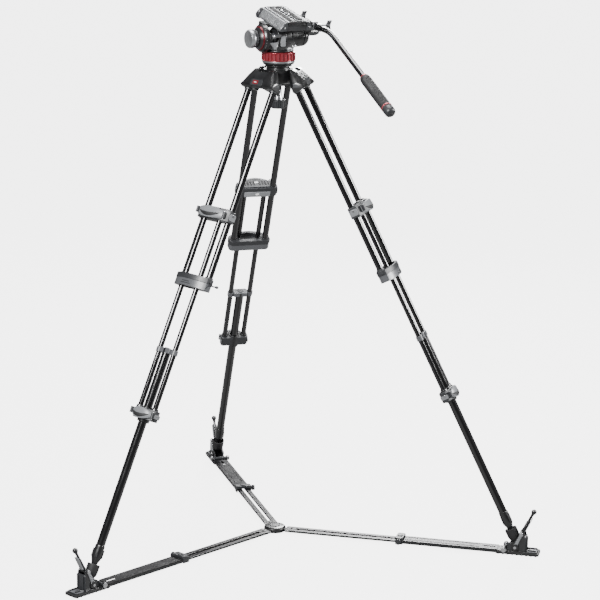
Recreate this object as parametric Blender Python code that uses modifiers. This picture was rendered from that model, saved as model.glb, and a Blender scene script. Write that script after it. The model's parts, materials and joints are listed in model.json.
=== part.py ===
"""Video tripod with a fluid head on a 75 mm half ball, standing on a ground spreader.

Metres, +Z up.  The origin is on the floor under the bowl's axis.  One leg points along +Y,
and the other two follow at 120 degree steps.  Each moving piece hangs from an empty, or has
its own origin, on the axis of its joint.
"""

import math

import bmesh
import bpy
from mathutils import Vector

# ---------------------------------------------------------------- driving dimensions: fits
GAP = 0.0003                 # between faces that touch
SLIDING_GAP = 0.0004         # round a tube that slides
TUBE_SIDES = 16
ROUND_SIDES = 32
CROWN_SIDES = 24

# ---------------------------------------------------------------- driving dimensions: legs
LEG_ANGLE = math.radians(26.3)       # from vertical, legs against their stops
HINGE_RADIUS = 0.0585                # leg hinge from the bowl's axis
FRONT_PLANE = 0.0165                 # middle and lower tubes stand this far in front of the upper ones
UPPER_STAGE = 0.6505                 # hinge to the middle of the band
MIDDLE_STAGE = 0.630                 # collar to lower clamp
LOWER_STAGE = 0.6927                 # guide to spike tip
MIDDLE_OVERLAP = 0.2125              # of the middle stage inside the upper one
LOWER_OVERLAP = 0.197                # of the lower stage inside the middle one
TIP_HEIGHT = 0.0489                  # spike tip above the floor

UPPER_TUBE_RADIUS = 0.010
UPPER_TUBE_SPACING = 0.104
MIDDLE_TUBE_RADIUS = 0.008
MIDDLE_TUBE_SPACING = 0.064
LOWER_TUBE_RADIUS = 0.013
TUBE_WALL = 0.0015

SLEEVE_WALL = 0.0042                 # casting round a tube
SHOULDER_DEPTH = 0.036               # shoulder casting below the hinge
SHOULDER_TOP = 0.030                 # and above it
SHOULDER_TOP_HALF = 0.042            # half its width up there
SHOULDER_WIDEST = 0.012              # full width from here down, below the hinge
LUG_WIDTH = 0.040
LUG_RADIUS = 0.011
PIN_RADIUS = 0.004
PIN_LENGTH = 0.068
BAND_HEIGHT = 0.038
BAND_FRONT = 0.040
COLLAR_HEIGHT = 0.034
COLLAR_FRONT = 0.038
CLAMP_HEIGHT = 0.040
CLAMP_FRONT = 0.039
GUIDE_HEIGHT = 0.016
GUIDE_DEPTH = 0.0276
LEVER_HEIGHT = 0.030
LEVER_THICKNESS = 0.0085
FOOT_LENGTH = 0.090                  # foot casting, tip included
FOOT_RADIUS = 0.0165
SPIKE_LENGTH = 0.034
SOCKET_FLOOR = 0.005                 # left under a blind socket

# ---------------------------------------------------------------- driving dimensions: spreader
HUB_RADIUS = 0.035
HUB_HEIGHT = 0.018
TONGUE_LENGTH = 0.018
RAIL_WIDTH = 0.015
RAIL_HEIGHT = 0.0065
RAIL_SPACING = 0.026
RAIL_OVERLAP = 0.0475                # of the rails inside the channel
ARM_WIDTH = 0.046
ARM_HEIGHT = 0.011
ARM_WALL = 0.0022
ARM_LENGTH = 0.350                   # lock to foot bracket
ARM_END = 0.018                      # before the tip, inside the seat
ARM_FLOOR_GAP = 0.003
LOCK_SIZE = (0.051, 0.024, 0.021)
LOCK_KNOB_RADIUS = 0.009
LOCK_KNOB_LENGTH = 0.013
SLOT_SIZE = (0.008, 0.036)
SLOT_BEFORE_TIP = 0.078
PAD_SIZE = (0.054, 0.135, 0.0095)
PAD_BEYOND_TIP = 0.078
CHEEK_THICKNESS = 0.004
CHEEK_HEIGHT = 0.050
SEAT_WIDTH = 0.030
SEAT_LENGTH = 0.044
SEAT_TOP = 0.0585
SEAT_DROP = 0.006                    # cup floor below the spike tip
CUP_RADIUS = 0.0075
CUP_SLOPE = math.radians(22)
CUP_DEPTH = 0.045
HEEL_SIZE = (0.038, 0.004, 0.055)
HEEL_BEYOND_TIP = 0.034
STRAP_PIVOT = (0.022, 0.066)         # beyond the tip, above the floor
STRAP_LENGTH = 0.079
STRAP_ANGLE = math.radians(64)
STRAP_RADIUS = 0.004
BARREL_RADIUS = 0.007
STRAP_BALL = 0.0085
CROSS_PIN_RADIUS = 0.0085
CROSS_PIN_LENGTH = 0.066
CROSS_PIN_BEFORE_TIP = 0.030
CROSS_PIN_HEIGHT = 0.0165

# ---------------------------------------------------------------- driving dimensions: bowl
RIM_ABOVE_HINGE = 0.026
BALL_RADIUS = 0.0372
BALL_CLEARANCE = 0.0006
BALL_DROP = 0.002                    # ball centre below the rim
CROWN_RADIUS = 0.0465
CROWN_DEPTH = 0.044
BOWL_HOLE = 0.022
STEM_RADIUS = 0.005
STEM_DEPTH = 0.104
KNOB_TOP = 0.046
KNOB_NECK_RADIUS = (0.0095, 0.014)
KNOB_RADIUS = 0.0245
KNOB_HEIGHT = 0.027
KNOB_BOTTOM = 0.120

# ---------------------------------------------------------------- driving dimensions: head
PAN_AT_REST = math.radians(15.5)
TILT_AT_REST = math.radians(13.5)
FLANGE_RADIUS = 0.041
FLANGE_BOTTOM = 0.0085
FLANGE_HEIGHT = 0.0055
BASE_RADIUS = 0.050
BASE_HEIGHT = 0.0113
BASE_HUB_RADIUS = 0.040
RING_RADIUS = 0.0515
RING_HEIGHT = 0.0270
RING_RIBS = 24
RIB_DEPTH = 0.0016
BODY_RADIUS = 0.046
BODY_PLATE = 0.007
TILT_HEIGHT = 0.095                  # tilt axis above the rim
TOWER_X = (-0.020, 0.048)
TOWER_DEPTH = 0.060
DRUM_RADIUS = 0.033
DRUM_END = 0.0720
AXLE_RADIUS = 0.022
AXLE_END = -0.0512
CONE_X = (-0.0785, -0.0520)
CONE_RADIUS = (0.0270, 0.0435)
CROSSBAR_Y = (-0.006, 0.026)         # its back edge clears the tilt lock
CROSSBAR_Z = (0.0345, 0.0460)
RIGHT_ARM_X = (0.0745, 0.0965)
RIGHT_ARM_RADIUS = (0.0310, 0.0220)   # at the drum and at the outside
BAR_LUG_X = (0.0950, 0.1100)
BAR_LUG_Z = 0.0125                   # foot of the lug that carries the pan bar
TONGUE_SIZE = (0.050, 0.028, 0.012)
TONGUE_PLACE = (0.119, 0.014, 0.004)
RECEIVER_CENTRE = 0.014
RECEIVER_LENGTH = 0.144
RECEIVER_HALF = (0.0560, 0.0430)     # at the foot and at the top
RECEIVER_Z = (0.0440, 0.0500, 0.0715)
CHANNEL_HALF = 0.0330
CHANNEL_FLOOR = 0.0610
PLATE_LENGTH = 0.150
PLATE_HEIGHT = 0.0122
DRAG_KNOB_LENGTH = 0.0275
DRAG_KNOB_RADIUS = (0.0255, 0.0280)
ROSETTE_PLACE = (0.00625, 0.0273)
ROSETTE_RADIUS = 0.014
ROSETTE_THICKNESS = 0.0065
BAR_HUB_LENGTH = 0.019
BAR_RADIUS = 0.0085
BAR_START = 0.070
BAR_START_SLOPE = math.radians(6)
BAR_DROP = math.radians(29)
BAR_SPLAY = math.radians(-2)         # the bar points a little outward
BAR_BEND_RADIUS = 0.130
BAR_STRAIGHT = 0.372
GRIP_RADIUS = 0.0165
GRIP_LENGTH = 0.178
GRIP_CAP = 0.012
WING_SIZE = (0.018, 0.007, 0.030)
STALK_RADIUS = 0.0045
BAR_STALK = 0.036
PLATE_STALK = 0.033
PLATE_LOCK_Y = 0.046
LOCK_LEVER_X = -0.0405
LOCK_LEVER_LENGTH = 0.028
LOCK_LEVER_Z = 0.008

# ---------------------------------------------------------------- worked out from the above
BAND_AT = UPPER_STAGE
COLLAR_AT = BAND_AT - MIDDLE_OVERLAP
CLAMP_AT = COLLAR_AT + MIDDLE_STAGE
GUIDE_AT = CLAMP_AT - LOWER_OVERLAP
TIP_AT = GUIDE_AT + LOWER_STAGE
HINGE_HEIGHT = TIP_HEIGHT + TIP_AT * math.cos(LEG_ANGLE) - FRONT_PLANE * math.sin(LEG_ANGLE)
TIP_RADIUS = HINGE_RADIUS + FRONT_PLANE * math.cos(LEG_ANGLE) + TIP_AT * math.sin(LEG_ANGLE)
RIM_HEIGHT = HINGE_HEIGHT + RIM_ABOVE_HINGE
RAIL_START = HUB_RADIUS + 2 * GAP
RAIL_LENGTH = TIP_RADIUS - ARM_END - ARM_LENGTH + RAIL_OVERLAP - RAIL_START
UPPER_X = UPPER_TUBE_SPACING / 2
MIDDLE_X = MIDDLE_TUBE_SPACING / 2
SLEEVE_HALF = UPPER_X + UPPER_TUBE_RADIUS + SLEEVE_WALL
SLEEVE_BACK = -(UPPER_TUBE_RADIUS + 0.0035)
CLAMP_HALF = MIDDLE_X + MIDDLE_TUBE_RADIUS + 0.0055
CLAMP_BACK = FRONT_PLANE - LOWER_TUBE_RADIUS - 0.0045
COLLAR_BOW = (SLEEVE_HALF, FRONT_PLANE, COLLAR_FRONT)
CLAMP_BOW = (CLAMP_HALF, FRONT_PLANE + 0.004, CLAMP_FRONT)
UPPER_LEVER_REACH = SLEEVE_HALF - 0.014
LOWER_LEVER_REACH = CLAMP_HALF - 0.005
BASE_BOTTOM = FLANGE_BOTTOM + FLANGE_HEIGHT + GAP
RING_BOTTOM = BASE_BOTTOM + BASE_HEIGHT + GAP
BODY_BOTTOM = RING_BOTTOM + RING_HEIGHT + GAP
LEGS = {"front": 0.0, "right": math.radians(120), "left": math.radians(240)}


# ---------------------------------------------------------------- scene and materials

def clear_scene():
    for old in list(bpy.data.objects):
        bpy.data.objects.remove(old, do_unlink=True)


def new_collection(name):
    group = bpy.data.collections.new(name)
    bpy.context.scene.collection.children.link(group)
    return group


def new_material(name, colour, roughness, metallic):
    made = bpy.data.materials.new(name)
    made.use_nodes = True
    shader = made.node_tree.nodes["Principled BSDF"]
    shader.inputs["Base Color"].default_value = (*colour, 1.0)
    shader.inputs["Roughness"].default_value = roughness
    shader.inputs["Metallic"].default_value = metallic
    return made


clear_scene()
PARTS = new_collection("tripod_with_fluid_head")
TOOLS = new_collection("cutters")
ANODISED = new_material("black_anodised_tube", (0.012, 0.012, 0.013), 0.25, 0.9)
CAST = new_material("black_painted_casting", (0.020, 0.020, 0.022), 0.42, 0.5)
PLASTIC = new_material("dark_moulded_plastic", (0.045, 0.047, 0.050), 0.5, 0.0)
GREY = new_material("grey_lever_plastic", (0.18, 0.18, 0.19), 0.4, 0.0)
RED = new_material("red_anodised_ring", (0.45, 0.015, 0.025), 0.3, 0.9)
SILVER = new_material("satin_silver_plate", (0.40, 0.41, 0.42), 0.35, 0.9)
RUBBER = new_material("black_rubber", (0.016, 0.016, 0.017), 0.8, 0.0)


# ---------------------------------------------------------------- shapes

def frame(name, parent, at=(0.0, 0.0, 0.0), turn=(0.0, 0.0, 0.0)):
    """An empty that carries pieces and stands on a joint's axis."""
    empty = bpy.data.objects.new(name, None)
    PARTS.objects.link(empty)
    empty.parent = parent
    empty.location = at
    empty.rotation_euler = turn
    return empty


def place(name, mesh, parent, at=(0.0, 0.0, 0.0), turn=(0.0, 0.0, 0.0), finish=None):
    """A piece, or a tool for a Boolean where no finish is given."""
    made = bpy.data.objects.new(name, mesh)
    made.parent = parent
    made.location = at
    made.rotation_euler = turn
    if finish:
        PARTS.objects.link(made)
        mesh.materials.append(finish)
    else:
        TOOLS.objects.link(made)
        made.hide_render = True
        made.display_type = "WIRE"
    return made


def block(size):
    mesh = bpy.data.meshes.new("block")
    shape = bmesh.new()
    bmesh.ops.create_cube(shape, size=1.0)
    bmesh.ops.scale(shape, vec=size, verts=shape.verts)
    shape.to_mesh(mesh)
    shape.free()
    return mesh


def rod(radius, length, sides=TUBE_SIDES, top_radius=None):
    """A cylinder or cone along Z, centred on its middle."""
    mesh = bpy.data.meshes.new("rod")
    shape = bmesh.new()
    bmesh.ops.create_cone(shape, cap_ends=True, segments=sides, radius1=radius,
                          radius2=radius if top_radius is None else top_radius, depth=length)
    shape.to_mesh(mesh)
    shape.free()
    mesh.shade_smooth()
    mesh.set_sharp_from_angle(angle=math.radians(35))
    return mesh


def ball(radius, sides=10):
    mesh = bpy.data.meshes.new("ball")
    shape = bmesh.new()
    bmesh.ops.create_uvsphere(shape, u_segments=sides, v_segments=sides // 2 + 1, radius=radius)
    shape.to_mesh(mesh)
    shape.free()
    mesh.shade_smooth()
    return mesh


def as_mesh(curve_object):
    """The filled, welded mesh of a curve object, which is removed."""
    bpy.context.view_layer.update()
    seen = curve_object.evaluated_get(bpy.context.evaluated_depsgraph_get())
    mesh = bpy.data.meshes.new_from_object(seen)
    shape = bmesh.new()
    shape.from_mesh(mesh)
    bmesh.ops.remove_doubles(shape, verts=shape.verts, dist=0.00002)
    bmesh.ops.recalc_face_normals(shape, faces=shape.faces)
    shape.to_mesh(mesh)
    shape.free()
    bpy.data.objects.remove(curve_object, do_unlink=True)
    return mesh


def slab(points, thickness):
    """A flat outline in XY, extruded evenly to both sides of Z = 0."""
    curve = bpy.data.curves.new("outline", "CURVE")
    curve.dimensions = "2D"
    curve.fill_mode = "BOTH"
    curve.extrude = thickness / 2
    spline = curve.splines.new("POLY")
    spline.points.add(len(points) - 1)
    for point, (x, y) in zip(spline.points, points):
        point.co = (x, y, 0.0, 1.0)
    spline.use_cyclic_u = True
    drawn = bpy.data.objects.new("outline", curve)
    bpy.context.scene.collection.objects.link(drawn)
    return as_mesh(drawn)


def wire(points, radius):
    """A round bar along a route of points."""
    curve = bpy.data.curves.new("route", "CURVE")
    curve.dimensions = "3D"
    curve.bevel_depth = radius
    curve.bevel_resolution = 3
    curve.use_fill_caps = True
    spline = curve.splines.new("POLY")
    spline.points.add(len(points) - 1)
    for point, place_at in zip(spline.points, points):
        point.co = (*place_at, 1.0)
    drawn = bpy.data.objects.new("route", curve)
    bpy.context.scene.collection.objects.link(drawn)
    return as_mesh(drawn)


def turned(name, profile, parent, at=(0.0, 0.0, 0.0), turn=(0.0, 0.0, 0.0), finish=None,
           sides=ROUND_SIDES, ring=False):
    """A profile of (radius, z) turned about Z; a ring's profile closes on itself."""
    mesh = bpy.data.meshes.new("profile")
    corners = [(radius, 0.0, z) for radius, z in profile]
    sides_of_profile = [(i, i + 1) for i in range(len(corners) - 1)]
    if ring:
        sides_of_profile.append((len(corners) - 1, 0))
    mesh.from_pydata(corners, sides_of_profile, [])
    made = place(name, mesh, parent, at, turn, finish)
    screw = made.modifiers.new("turn", "SCREW")
    screw.steps = sides
    screw.render_steps = sides
    screw.use_merge_vertices = True
    screw.merge_threshold = 0.00002
    return made


def tube(name, radius, wall, top, bottom, parent, x, y, finish):
    """A hollow tube along Z between two heights."""
    profile = [(radius, top), (radius, bottom), (radius - wall, bottom), (radius - wall, top)]
    return turned(name, profile, parent, (x, y, 0.0), finish=finish, sides=TUBE_SIDES, ring=True)


def combine(piece, operation, tools):
    for tool in tools:
        step = piece.modifiers.new(tool.name, "BOOLEAN")
        step.operation = operation
        step.object = tool


def cut(piece, *tools):
    combine(piece, "DIFFERENCE", tools)


def join(piece, *tools):
    combine(piece, "UNION", tools)


def keep_within(piece, tool):
    combine(piece, "INTERSECT", [tool])


def arc(centre, radius, start, end, steps):
    """Points on a circle from one angle to another, in radians."""
    for step in range(steps + 1):
        angle = start + (end - start) * step / steps
        yield centre[0] + radius * math.cos(angle), centre[1] + radius * math.sin(angle)


def bow_circle(half_width, side, front):
    """Radius and half angle of the arc from (half_width, side) over (0, front)."""
    rise = front - side
    radius = (half_width ** 2 + rise ** 2) / (2 * rise)
    return radius, math.asin(min(1.0, half_width / radius))


def bow(half_width, side, front, steps=8):
    """Points on that arc, from right to left."""
    radius, reach = bow_circle(half_width, side, front)
    quarter = math.pi / 2
    return list(arc((0.0, front - radius), radius, quarter - reach, quarter + reach, steps))


def saddle(half_width, side, front, back, corner):
    """Outline of a casting with a flat back, chamfered corners and a bowed front."""
    right = [(half_width - corner, back), (half_width, back + corner)]
    left = [(-half_width, back + corner), (-half_width + corner, back)]
    return right + bow(half_width, side, front) + left


ALONG_X = (0.0, math.radians(90), 0.0)
ALONG_Y = (math.radians(-90), 0.0, 0.0)
FACING_X = (math.radians(90), 0.0, math.radians(90))     # outline (y, z), extruded along X
FACING_Y = (math.radians(90), 0.0, 0.0)                  # outline (x, z), extruded along Y


# ---------------------------------------------------------------- one leg

def shoulder(leg, upper):
    """The casting that holds both upper tubes and swings on the crown's lug."""
    foot, top = -SHOULDER_DEPTH, SHOULDER_TOP
    side = [(-0.012, foot), (0.019, foot), (0.027, foot + 0.009), (0.027, foot + 0.018),
            (0.012, top - 0.004), (0.003, top), (0.0, top - 0.001), (-0.006, 0.012), (-0.012, 0.004)]
    made = place(f"leg_{leg}_shoulder", slab(side, 2 * SLEEVE_HALF), upper, turn=FACING_X, finish=CAST)
    front = [(-SLEEVE_HALF - GAP, foot - 0.001), (SLEEVE_HALF + GAP, foot - 0.001),
             (SLEEVE_HALF + GAP, -SHOULDER_WIDEST), (SHOULDER_TOP_HALF, top + 0.001),
             (-SHOULDER_TOP_HALF, top + 0.001), (-SLEEVE_HALF - GAP, -SHOULDER_WIDEST)]
    keep_within(made, place("taper", slab(front, 0.120), upper, turn=FACING_Y))
    room_front = LUG_RADIUS + 0.0015
    tools = [place("lug_room", block((LUG_WIDTH + 4 * GAP, 0.060, 0.120)), upper,
                   (0.0, room_front - 0.030, 0.031))]
    length = SHOULDER_DEPTH - 0.012
    for x in (-UPPER_X, UPPER_X):
        tools.append(place("socket", rod(UPPER_TUBE_RADIUS + GAP, length + 0.010), upper,
                           (x, 0.0, -SHOULDER_DEPTH + length / 2 - 0.005)))
    tools.append(place("pin_hole", rod(PIN_RADIUS + GAP, PIN_LENGTH + 0.002), upper, turn=ALONG_X))
    cut(made, *tools)


def band(leg, upper):
    """The band that ties the feet of the upper tubes and guides the middle ones."""
    outline = saddle(SLEEVE_HALF, FRONT_PLANE, BAND_FRONT, SLEEVE_BACK, 0.008)
    at = (0.0, 0.0, -BAND_AT)
    made = place(f"leg_{leg}_band", slab(outline, BAND_HEIGHT), upper, at, finish=PLASTIC)
    back, front = -0.0005, FRONT_PLANE + GUIDE_DEPTH / 2 + 0.0013
    middle = (back + front) / 2
    tools = [place("guide_room", block((2 * MIDDLE_X, front - back, 0.10)), upper, (0.0, middle, -BAND_AT))]
    for x in (-1, 1):
        tools.append(place("slide_hole", rod(MIDDLE_TUBE_RADIUS + SLIDING_GAP, 0.10), upper,
                           (x * MIDDLE_X, FRONT_PLANE, -BAND_AT)))
        tools.append(place("socket", rod(UPPER_TUBE_RADIUS + GAP, BAND_HEIGHT), upper,
                           (x * UPPER_X, 0.0, -BAND_AT + SOCKET_FLOOR)))
    cut(made, *tools)


def collar(leg, middle):
    """The clamp body on the middle stage, which slides on the upper tubes."""
    outline = saddle(*COLLAR_BOW, SLEEVE_BACK, 0.008)
    made = place(f"leg_{leg}_collar", slab(outline, COLLAR_HEIGHT), middle, finish=PLASTIC)
    tools = []
    for x in (-1, 1):
        tools.append(place("slide_hole", rod(UPPER_TUBE_RADIUS + SLIDING_GAP, 0.10), middle,
                           (x * UPPER_X, 0.0, 0.0)))
        tools.append(place("socket", rod(MIDDLE_TUBE_RADIUS + GAP, COLLAR_HEIGHT), middle,
                           (x * MIDDLE_X, FRONT_PLANE, -SOCKET_FLOOR)))
    cut(made, *tools)


def lower_clamp(leg, middle):
    """The clamp body at the foot of the middle tubes, round the lower tube."""
    outline = saddle(*CLAMP_BOW, CLAMP_BACK, 0.006)
    at = (0.0, 0.0, -MIDDLE_STAGE)
    made = place(f"leg_{leg}_clamp", slab(outline, CLAMP_HEIGHT), middle, at, finish=PLASTIC)
    tools = [place("slide_hole", rod(LOWER_TUBE_RADIUS + SLIDING_GAP, 0.10, sides=20), middle,
                   (0.0, FRONT_PLANE, -MIDDLE_STAGE))]
    for x in (-1, 1):
        tools.append(place("socket", rod(MIDDLE_TUBE_RADIUS + GAP, CLAMP_HEIGHT), middle,
                           (x * MIDDLE_X, FRONT_PLANE, -MIDDLE_STAGE + SOCKET_FLOOR)))
    cut(made, *tools)


def flip_lever(name, parent, bowed, half_width, height_at):
    """A bowed lever that lies on a casting's front and swings out about its left end."""
    front = bowed[2]
    radius, _ = bow_circle(*bowed)
    inner = radius + 2 * GAP
    outer = inner + LEVER_THICKNESS
    reach = math.asin(half_width / inner)
    quarter = math.pi / 2
    centre = (0.0, front - radius)
    left = quarter + reach
    pivot_at = (centre[0] + (inner + LEVER_THICKNESS / 2) * math.cos(left),
                centre[1] + (inner + LEVER_THICKNESS / 2) * math.sin(left))
    pivot = frame(f"{name}_pivot", parent, (*pivot_at, height_at))
    right = quarter - reach
    outline = [*arc(centre, outer, right, left, 8), *arc(centre, inner, left, right, 8)]
    local = [(x - pivot_at[0], y - pivot_at[1]) for x, y in outline]
    place(name, slab(local, LEVER_HEIGHT), pivot, finish=GREY)


def lower_leg(leg, low):
    """The single lower tube with the guide at its head and the spiked foot at its end."""
    length = LOWER_STAGE - FOOT_LENGTH + 0.020
    profile = [(LOWER_TUBE_RADIUS, GUIDE_HEIGHT / 2), (LOWER_TUBE_RADIUS, -length),
               (LOWER_TUBE_RADIUS - TUBE_WALL, -length), (LOWER_TUBE_RADIUS - TUBE_WALL, GUIDE_HEIGHT / 2)]
    made = turned(f"leg_{leg}_lower_tube", profile, low, finish=ANODISED, sides=TUBE_SIDES, ring=True)
    guide = place("guide", block((2 * MIDDLE_X - 0.004, GUIDE_DEPTH, GUIDE_HEIGHT)), low)
    bore = place("guide_bore", rod(LOWER_TUBE_RADIUS - TUBE_WALL / 2, 0.05), low)
    tracks = [place("track", rod(MIDDLE_TUBE_RADIUS + SLIDING_GAP, 0.05), low, (x, 0.0, 0.0))
              for x in (-MIDDLE_X, MIDDLE_X)]
    cut(guide, bore, *tracks)
    tip = -LOWER_STAGE
    neck = FOOT_RADIUS - 0.003
    foot = turned("foot", [(0.0, tip + FOOT_LENGTH), (neck, tip + FOOT_LENGTH),
                           (FOOT_RADIUS, tip + FOOT_LENGTH - 0.008), (FOOT_RADIUS, tip + SPIKE_LENGTH + 0.020),
                           (0.0095, tip + SPIKE_LENGTH), (0.0065, tip + 0.010), (0.0015, tip), (0.0, tip)],
                  low, sides=TUBE_SIDES)
    join(made, guide, foot)


def build_leg(leg, azimuth, crown_frame):
    at = (HINGE_RADIUS * math.sin(azimuth), HINGE_RADIUS * math.cos(azimuth), HINGE_HEIGHT)
    upper = frame(f"leg_{leg}_hinge", crown_frame, at, (LEG_ANGLE, 0.0, -azimuth))
    middle = frame(f"leg_{leg}_middle_slide", upper, (0.0, 0.0, -COLLAR_AT))
    low = frame(f"leg_{leg}_lower_slide", middle, (0.0, FRONT_PLANE, COLLAR_AT - GUIDE_AT))
    shoulder(leg, upper)
    band(leg, upper)
    for side, x in (("a", -UPPER_X), ("b", UPPER_X)):
        tube(f"leg_{leg}_upper_tube_{side}", UPPER_TUBE_RADIUS, TUBE_WALL, -0.0125,
             -BAND_AT - BAND_HEIGHT / 2 + SOCKET_FLOOR + GAP, upper, x, 0.0, ANODISED)
    collar(leg, middle)
    lower_clamp(leg, middle)
    for side, x in (("a", -MIDDLE_X), ("b", MIDDLE_X)):
        tube(f"leg_{leg}_middle_tube_{side}", MIDDLE_TUBE_RADIUS, TUBE_WALL,
             COLLAR_HEIGHT / 2 - SOCKET_FLOOR - GAP,
             -MIDDLE_STAGE - CLAMP_HEIGHT / 2 + SOCKET_FLOOR + GAP, middle, x, FRONT_PLANE, ANODISED)
    flip_lever(f"leg_{leg}_upper_lever", middle, COLLAR_BOW, UPPER_LEVER_REACH, 0.0)
    flip_lever(f"leg_{leg}_lower_lever", middle, CLAMP_BOW, LOWER_LEVER_REACH, -MIDDLE_STAGE)
    lower_leg(leg, low)


# ---------------------------------------------------------------- ground spreader

def build_hub(floor):
    profile = [(0.0, HUB_HEIGHT), (HUB_RADIUS - 0.004, HUB_HEIGHT), (HUB_RADIUS, HUB_HEIGHT - 0.004),
               (HUB_RADIUS, 0.0), (0.0, 0.0)]
    made = turned("spreader_hub", profile, floor, finish=CAST)
    for name, azimuth in LEGS.items():
        turn = frame(f"tongue_{name}", floor, turn=(0.0, 0.0, -azimuth))
        width = RAIL_SPACING - RAIL_WIDTH - 2 * GAP
        length = TONGUE_LENGTH + 0.010
        join(made, place("tongue", block((width, length, RAIL_HEIGHT)), turn,
                         (0.0, HUB_RADIUS + TONGUE_LENGTH - length / 2, rail_z())))


def rail_z():
    """Height of the middle of the inner arm's rails."""
    return ARM_FLOOR_GAP + 0.0015 + RAIL_HEIGHT / 2


def build_inner_arm(name, spoke):
    """Two flat rails, tied at both ends."""
    middle = RAIL_START + RAIL_LENGTH / 2
    half = RAIL_SPACING / 2
    made = place(f"spreader_{name}_inner_arm", block((RAIL_WIDTH, RAIL_LENGTH, RAIL_HEIGHT)), spoke,
                 (-half, middle, rail_z()), finish=ANODISED)
    other = place("rail", block((RAIL_WIDTH, RAIL_LENGTH, RAIL_HEIGHT)), spoke, (half, middle, rail_z()))
    tie = RAIL_SPACING - RAIL_WIDTH + 0.004
    near = place("tie", block((tie, 0.012, RAIL_HEIGHT - 0.001)), spoke,
                 (0.0, HUB_RADIUS + TONGUE_LENGTH + 0.009, rail_z()))
    far = place("tie", block((tie, 0.014, RAIL_HEIGHT - 0.001)), spoke,
                (0.0, RAIL_START + RAIL_LENGTH - 0.009, rail_z()))
    join(made, other, near, far)


def build_outer_arm(name, spoke):
    """The channel that runs over the rails, with its lock, floor pad, bracket and spike cup."""
    outer = frame(f"spreader_{name}_slide", spoke, (0.0, TIP_RADIUS, 0.0))
    near = -ARM_END - ARM_LENGTH
    arm_z = ARM_FLOOR_GAP + ARM_HEIGHT / 2
    made = place(f"spreader_{name}_outer_arm", block((ARM_WIDTH, ARM_LENGTH, ARM_HEIGHT)), outer,
                 (0.0, near + ARM_LENGTH / 2, arm_z), finish=ANODISED)
    lock = place("lock", block(LOCK_SIZE), outer,
                 (0.0, near + LOCK_SIZE[1] / 2 - 0.004, 0.001 + LOCK_SIZE[2] / 2))
    join(made, lock)
    rail_room = 2 * (RAIL_SPACING / 2 + RAIL_WIDTH / 2 + SLIDING_GAP)
    room_top = rail_z() + RAIL_HEIGHT / 2 + SLIDING_GAP
    channel = place("rail_room", block((rail_room, ARM_LENGTH, room_top + 0.02)), outer,
                    (0.0, near + ARM_LENGTH / 2 - 0.024, room_top / 2 - 0.010))
    slot = place("slot", block((*SLOT_SIZE, 0.05)), outer, (0.0, -SLOT_BEFORE_TIP, arm_z))
    cut(made, channel, slot)
    pad_at = PAD_BEYOND_TIP - PAD_SIZE[1] / 2
    pad = place("pad", block(PAD_SIZE), outer, (0.0, pad_at, PAD_SIZE[2] / 2))
    join(made, pad)
    seat = place("seat", block((SEAT_WIDTH, SEAT_LENGTH, SEAT_TOP - 0.004)), outer,
                 (0.0, 0.0, (SEAT_TOP + 0.004) / 2))
    side = [(-0.024, 0.004), (0.030, 0.004), (0.030, 0.030), (0.030, 0.062), (0.027, 0.072),
            (0.018, 0.072), (0.014, 0.062), (0.010, CHEEK_HEIGHT), (-0.014, CHEEK_HEIGHT), (-0.024, 0.030)]
    cheeks = [place("cheek", slab(side, CHEEK_THICKNESS), outer, (x, 0.0, 0.0), FACING_X)
              for x in (-SEAT_WIDTH / 2, SEAT_WIDTH / 2)]
    heel = place("heel", block(HEEL_SIZE), outer, (0.0, HEEL_BEYOND_TIP, HEEL_SIZE[2] / 2 + 0.004))
    pin = place("cross_pin", rod(CROSS_PIN_RADIUS, CROSS_PIN_LENGTH), outer,
                (0.0, -CROSS_PIN_BEFORE_TIP, CROSS_PIN_HEIGHT), ALONG_X)
    join(made, seat, *cheeks, heel, pin)
    floor_point = Vector((0.0, 0.0, TIP_HEIGHT - SEAT_DROP))
    along = Vector((0.0, -math.sin(LEG_ANGLE), math.cos(LEG_ANGLE)))
    mouth = CUP_RADIUS + CUP_DEPTH * math.tan(CUP_SLOPE)
    cup = place("cup", rod(CUP_RADIUS, CUP_DEPTH, TUBE_SIDES, mouth), outer,
                floor_point + along * CUP_DEPTH / 2, (LEG_ANGLE, 0.0, 0.0))
    strap_room = place("strap_room", rod(0.0125, SEAT_WIDTH - CHEEK_THICKNESS), outer,
                       (0.0, *STRAP_PIVOT), ALONG_X)
    cut(made, cup, strap_room)
    build_lock_knob(name, outer, near)
    build_strap(name, outer)


def build_lock_knob(name, outer, near):
    """The knob on the side of the arm's lock."""
    at = (LOCK_SIZE[0] / 2 + GAP, near + LOCK_SIZE[1] / 2 - 0.004, 0.001 + LOCK_SIZE[2] / 2)
    length = LOCK_KNOB_LENGTH
    profile = [(0.0, length), (LOCK_KNOB_RADIUS - 0.002, length), (LOCK_KNOB_RADIUS, length - 0.002),
               (LOCK_KNOB_RADIUS, 0.004), (0.005, 0.003), (0.005, 0.0), (0.0, 0.0)]
    turned(f"spreader_{name}_lock_knob", profile, outer, at, ALONG_X, PLASTIC, sides=12)


def build_strap(name, outer):
    """The bar with a ball end that clips the foot down."""
    pivot = frame(f"spreader_{name}_strap_pivot", outer, (0.0, *STRAP_PIVOT), (STRAP_ANGLE, 0.0, 0.0))
    barrel = rod(BARREL_RADIUS, SEAT_WIDTH - CHEEK_THICKNESS - 4 * GAP, 12)
    made = place(f"spreader_{name}_foot_lever", barrel, pivot, turn=ALONG_X, finish=RUBBER)
    bar = place("strap_bar", rod(STRAP_RADIUS, STRAP_LENGTH, 8), pivot, (0.0, STRAP_LENGTH / 2, 0.0), ALONG_Y)
    end = place("strap_ball", ball(STRAP_BALL), pivot, (0.0, STRAP_LENGTH, 0.0))
    join(made, bar, end)


# ---------------------------------------------------------------- crown and half ball

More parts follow.
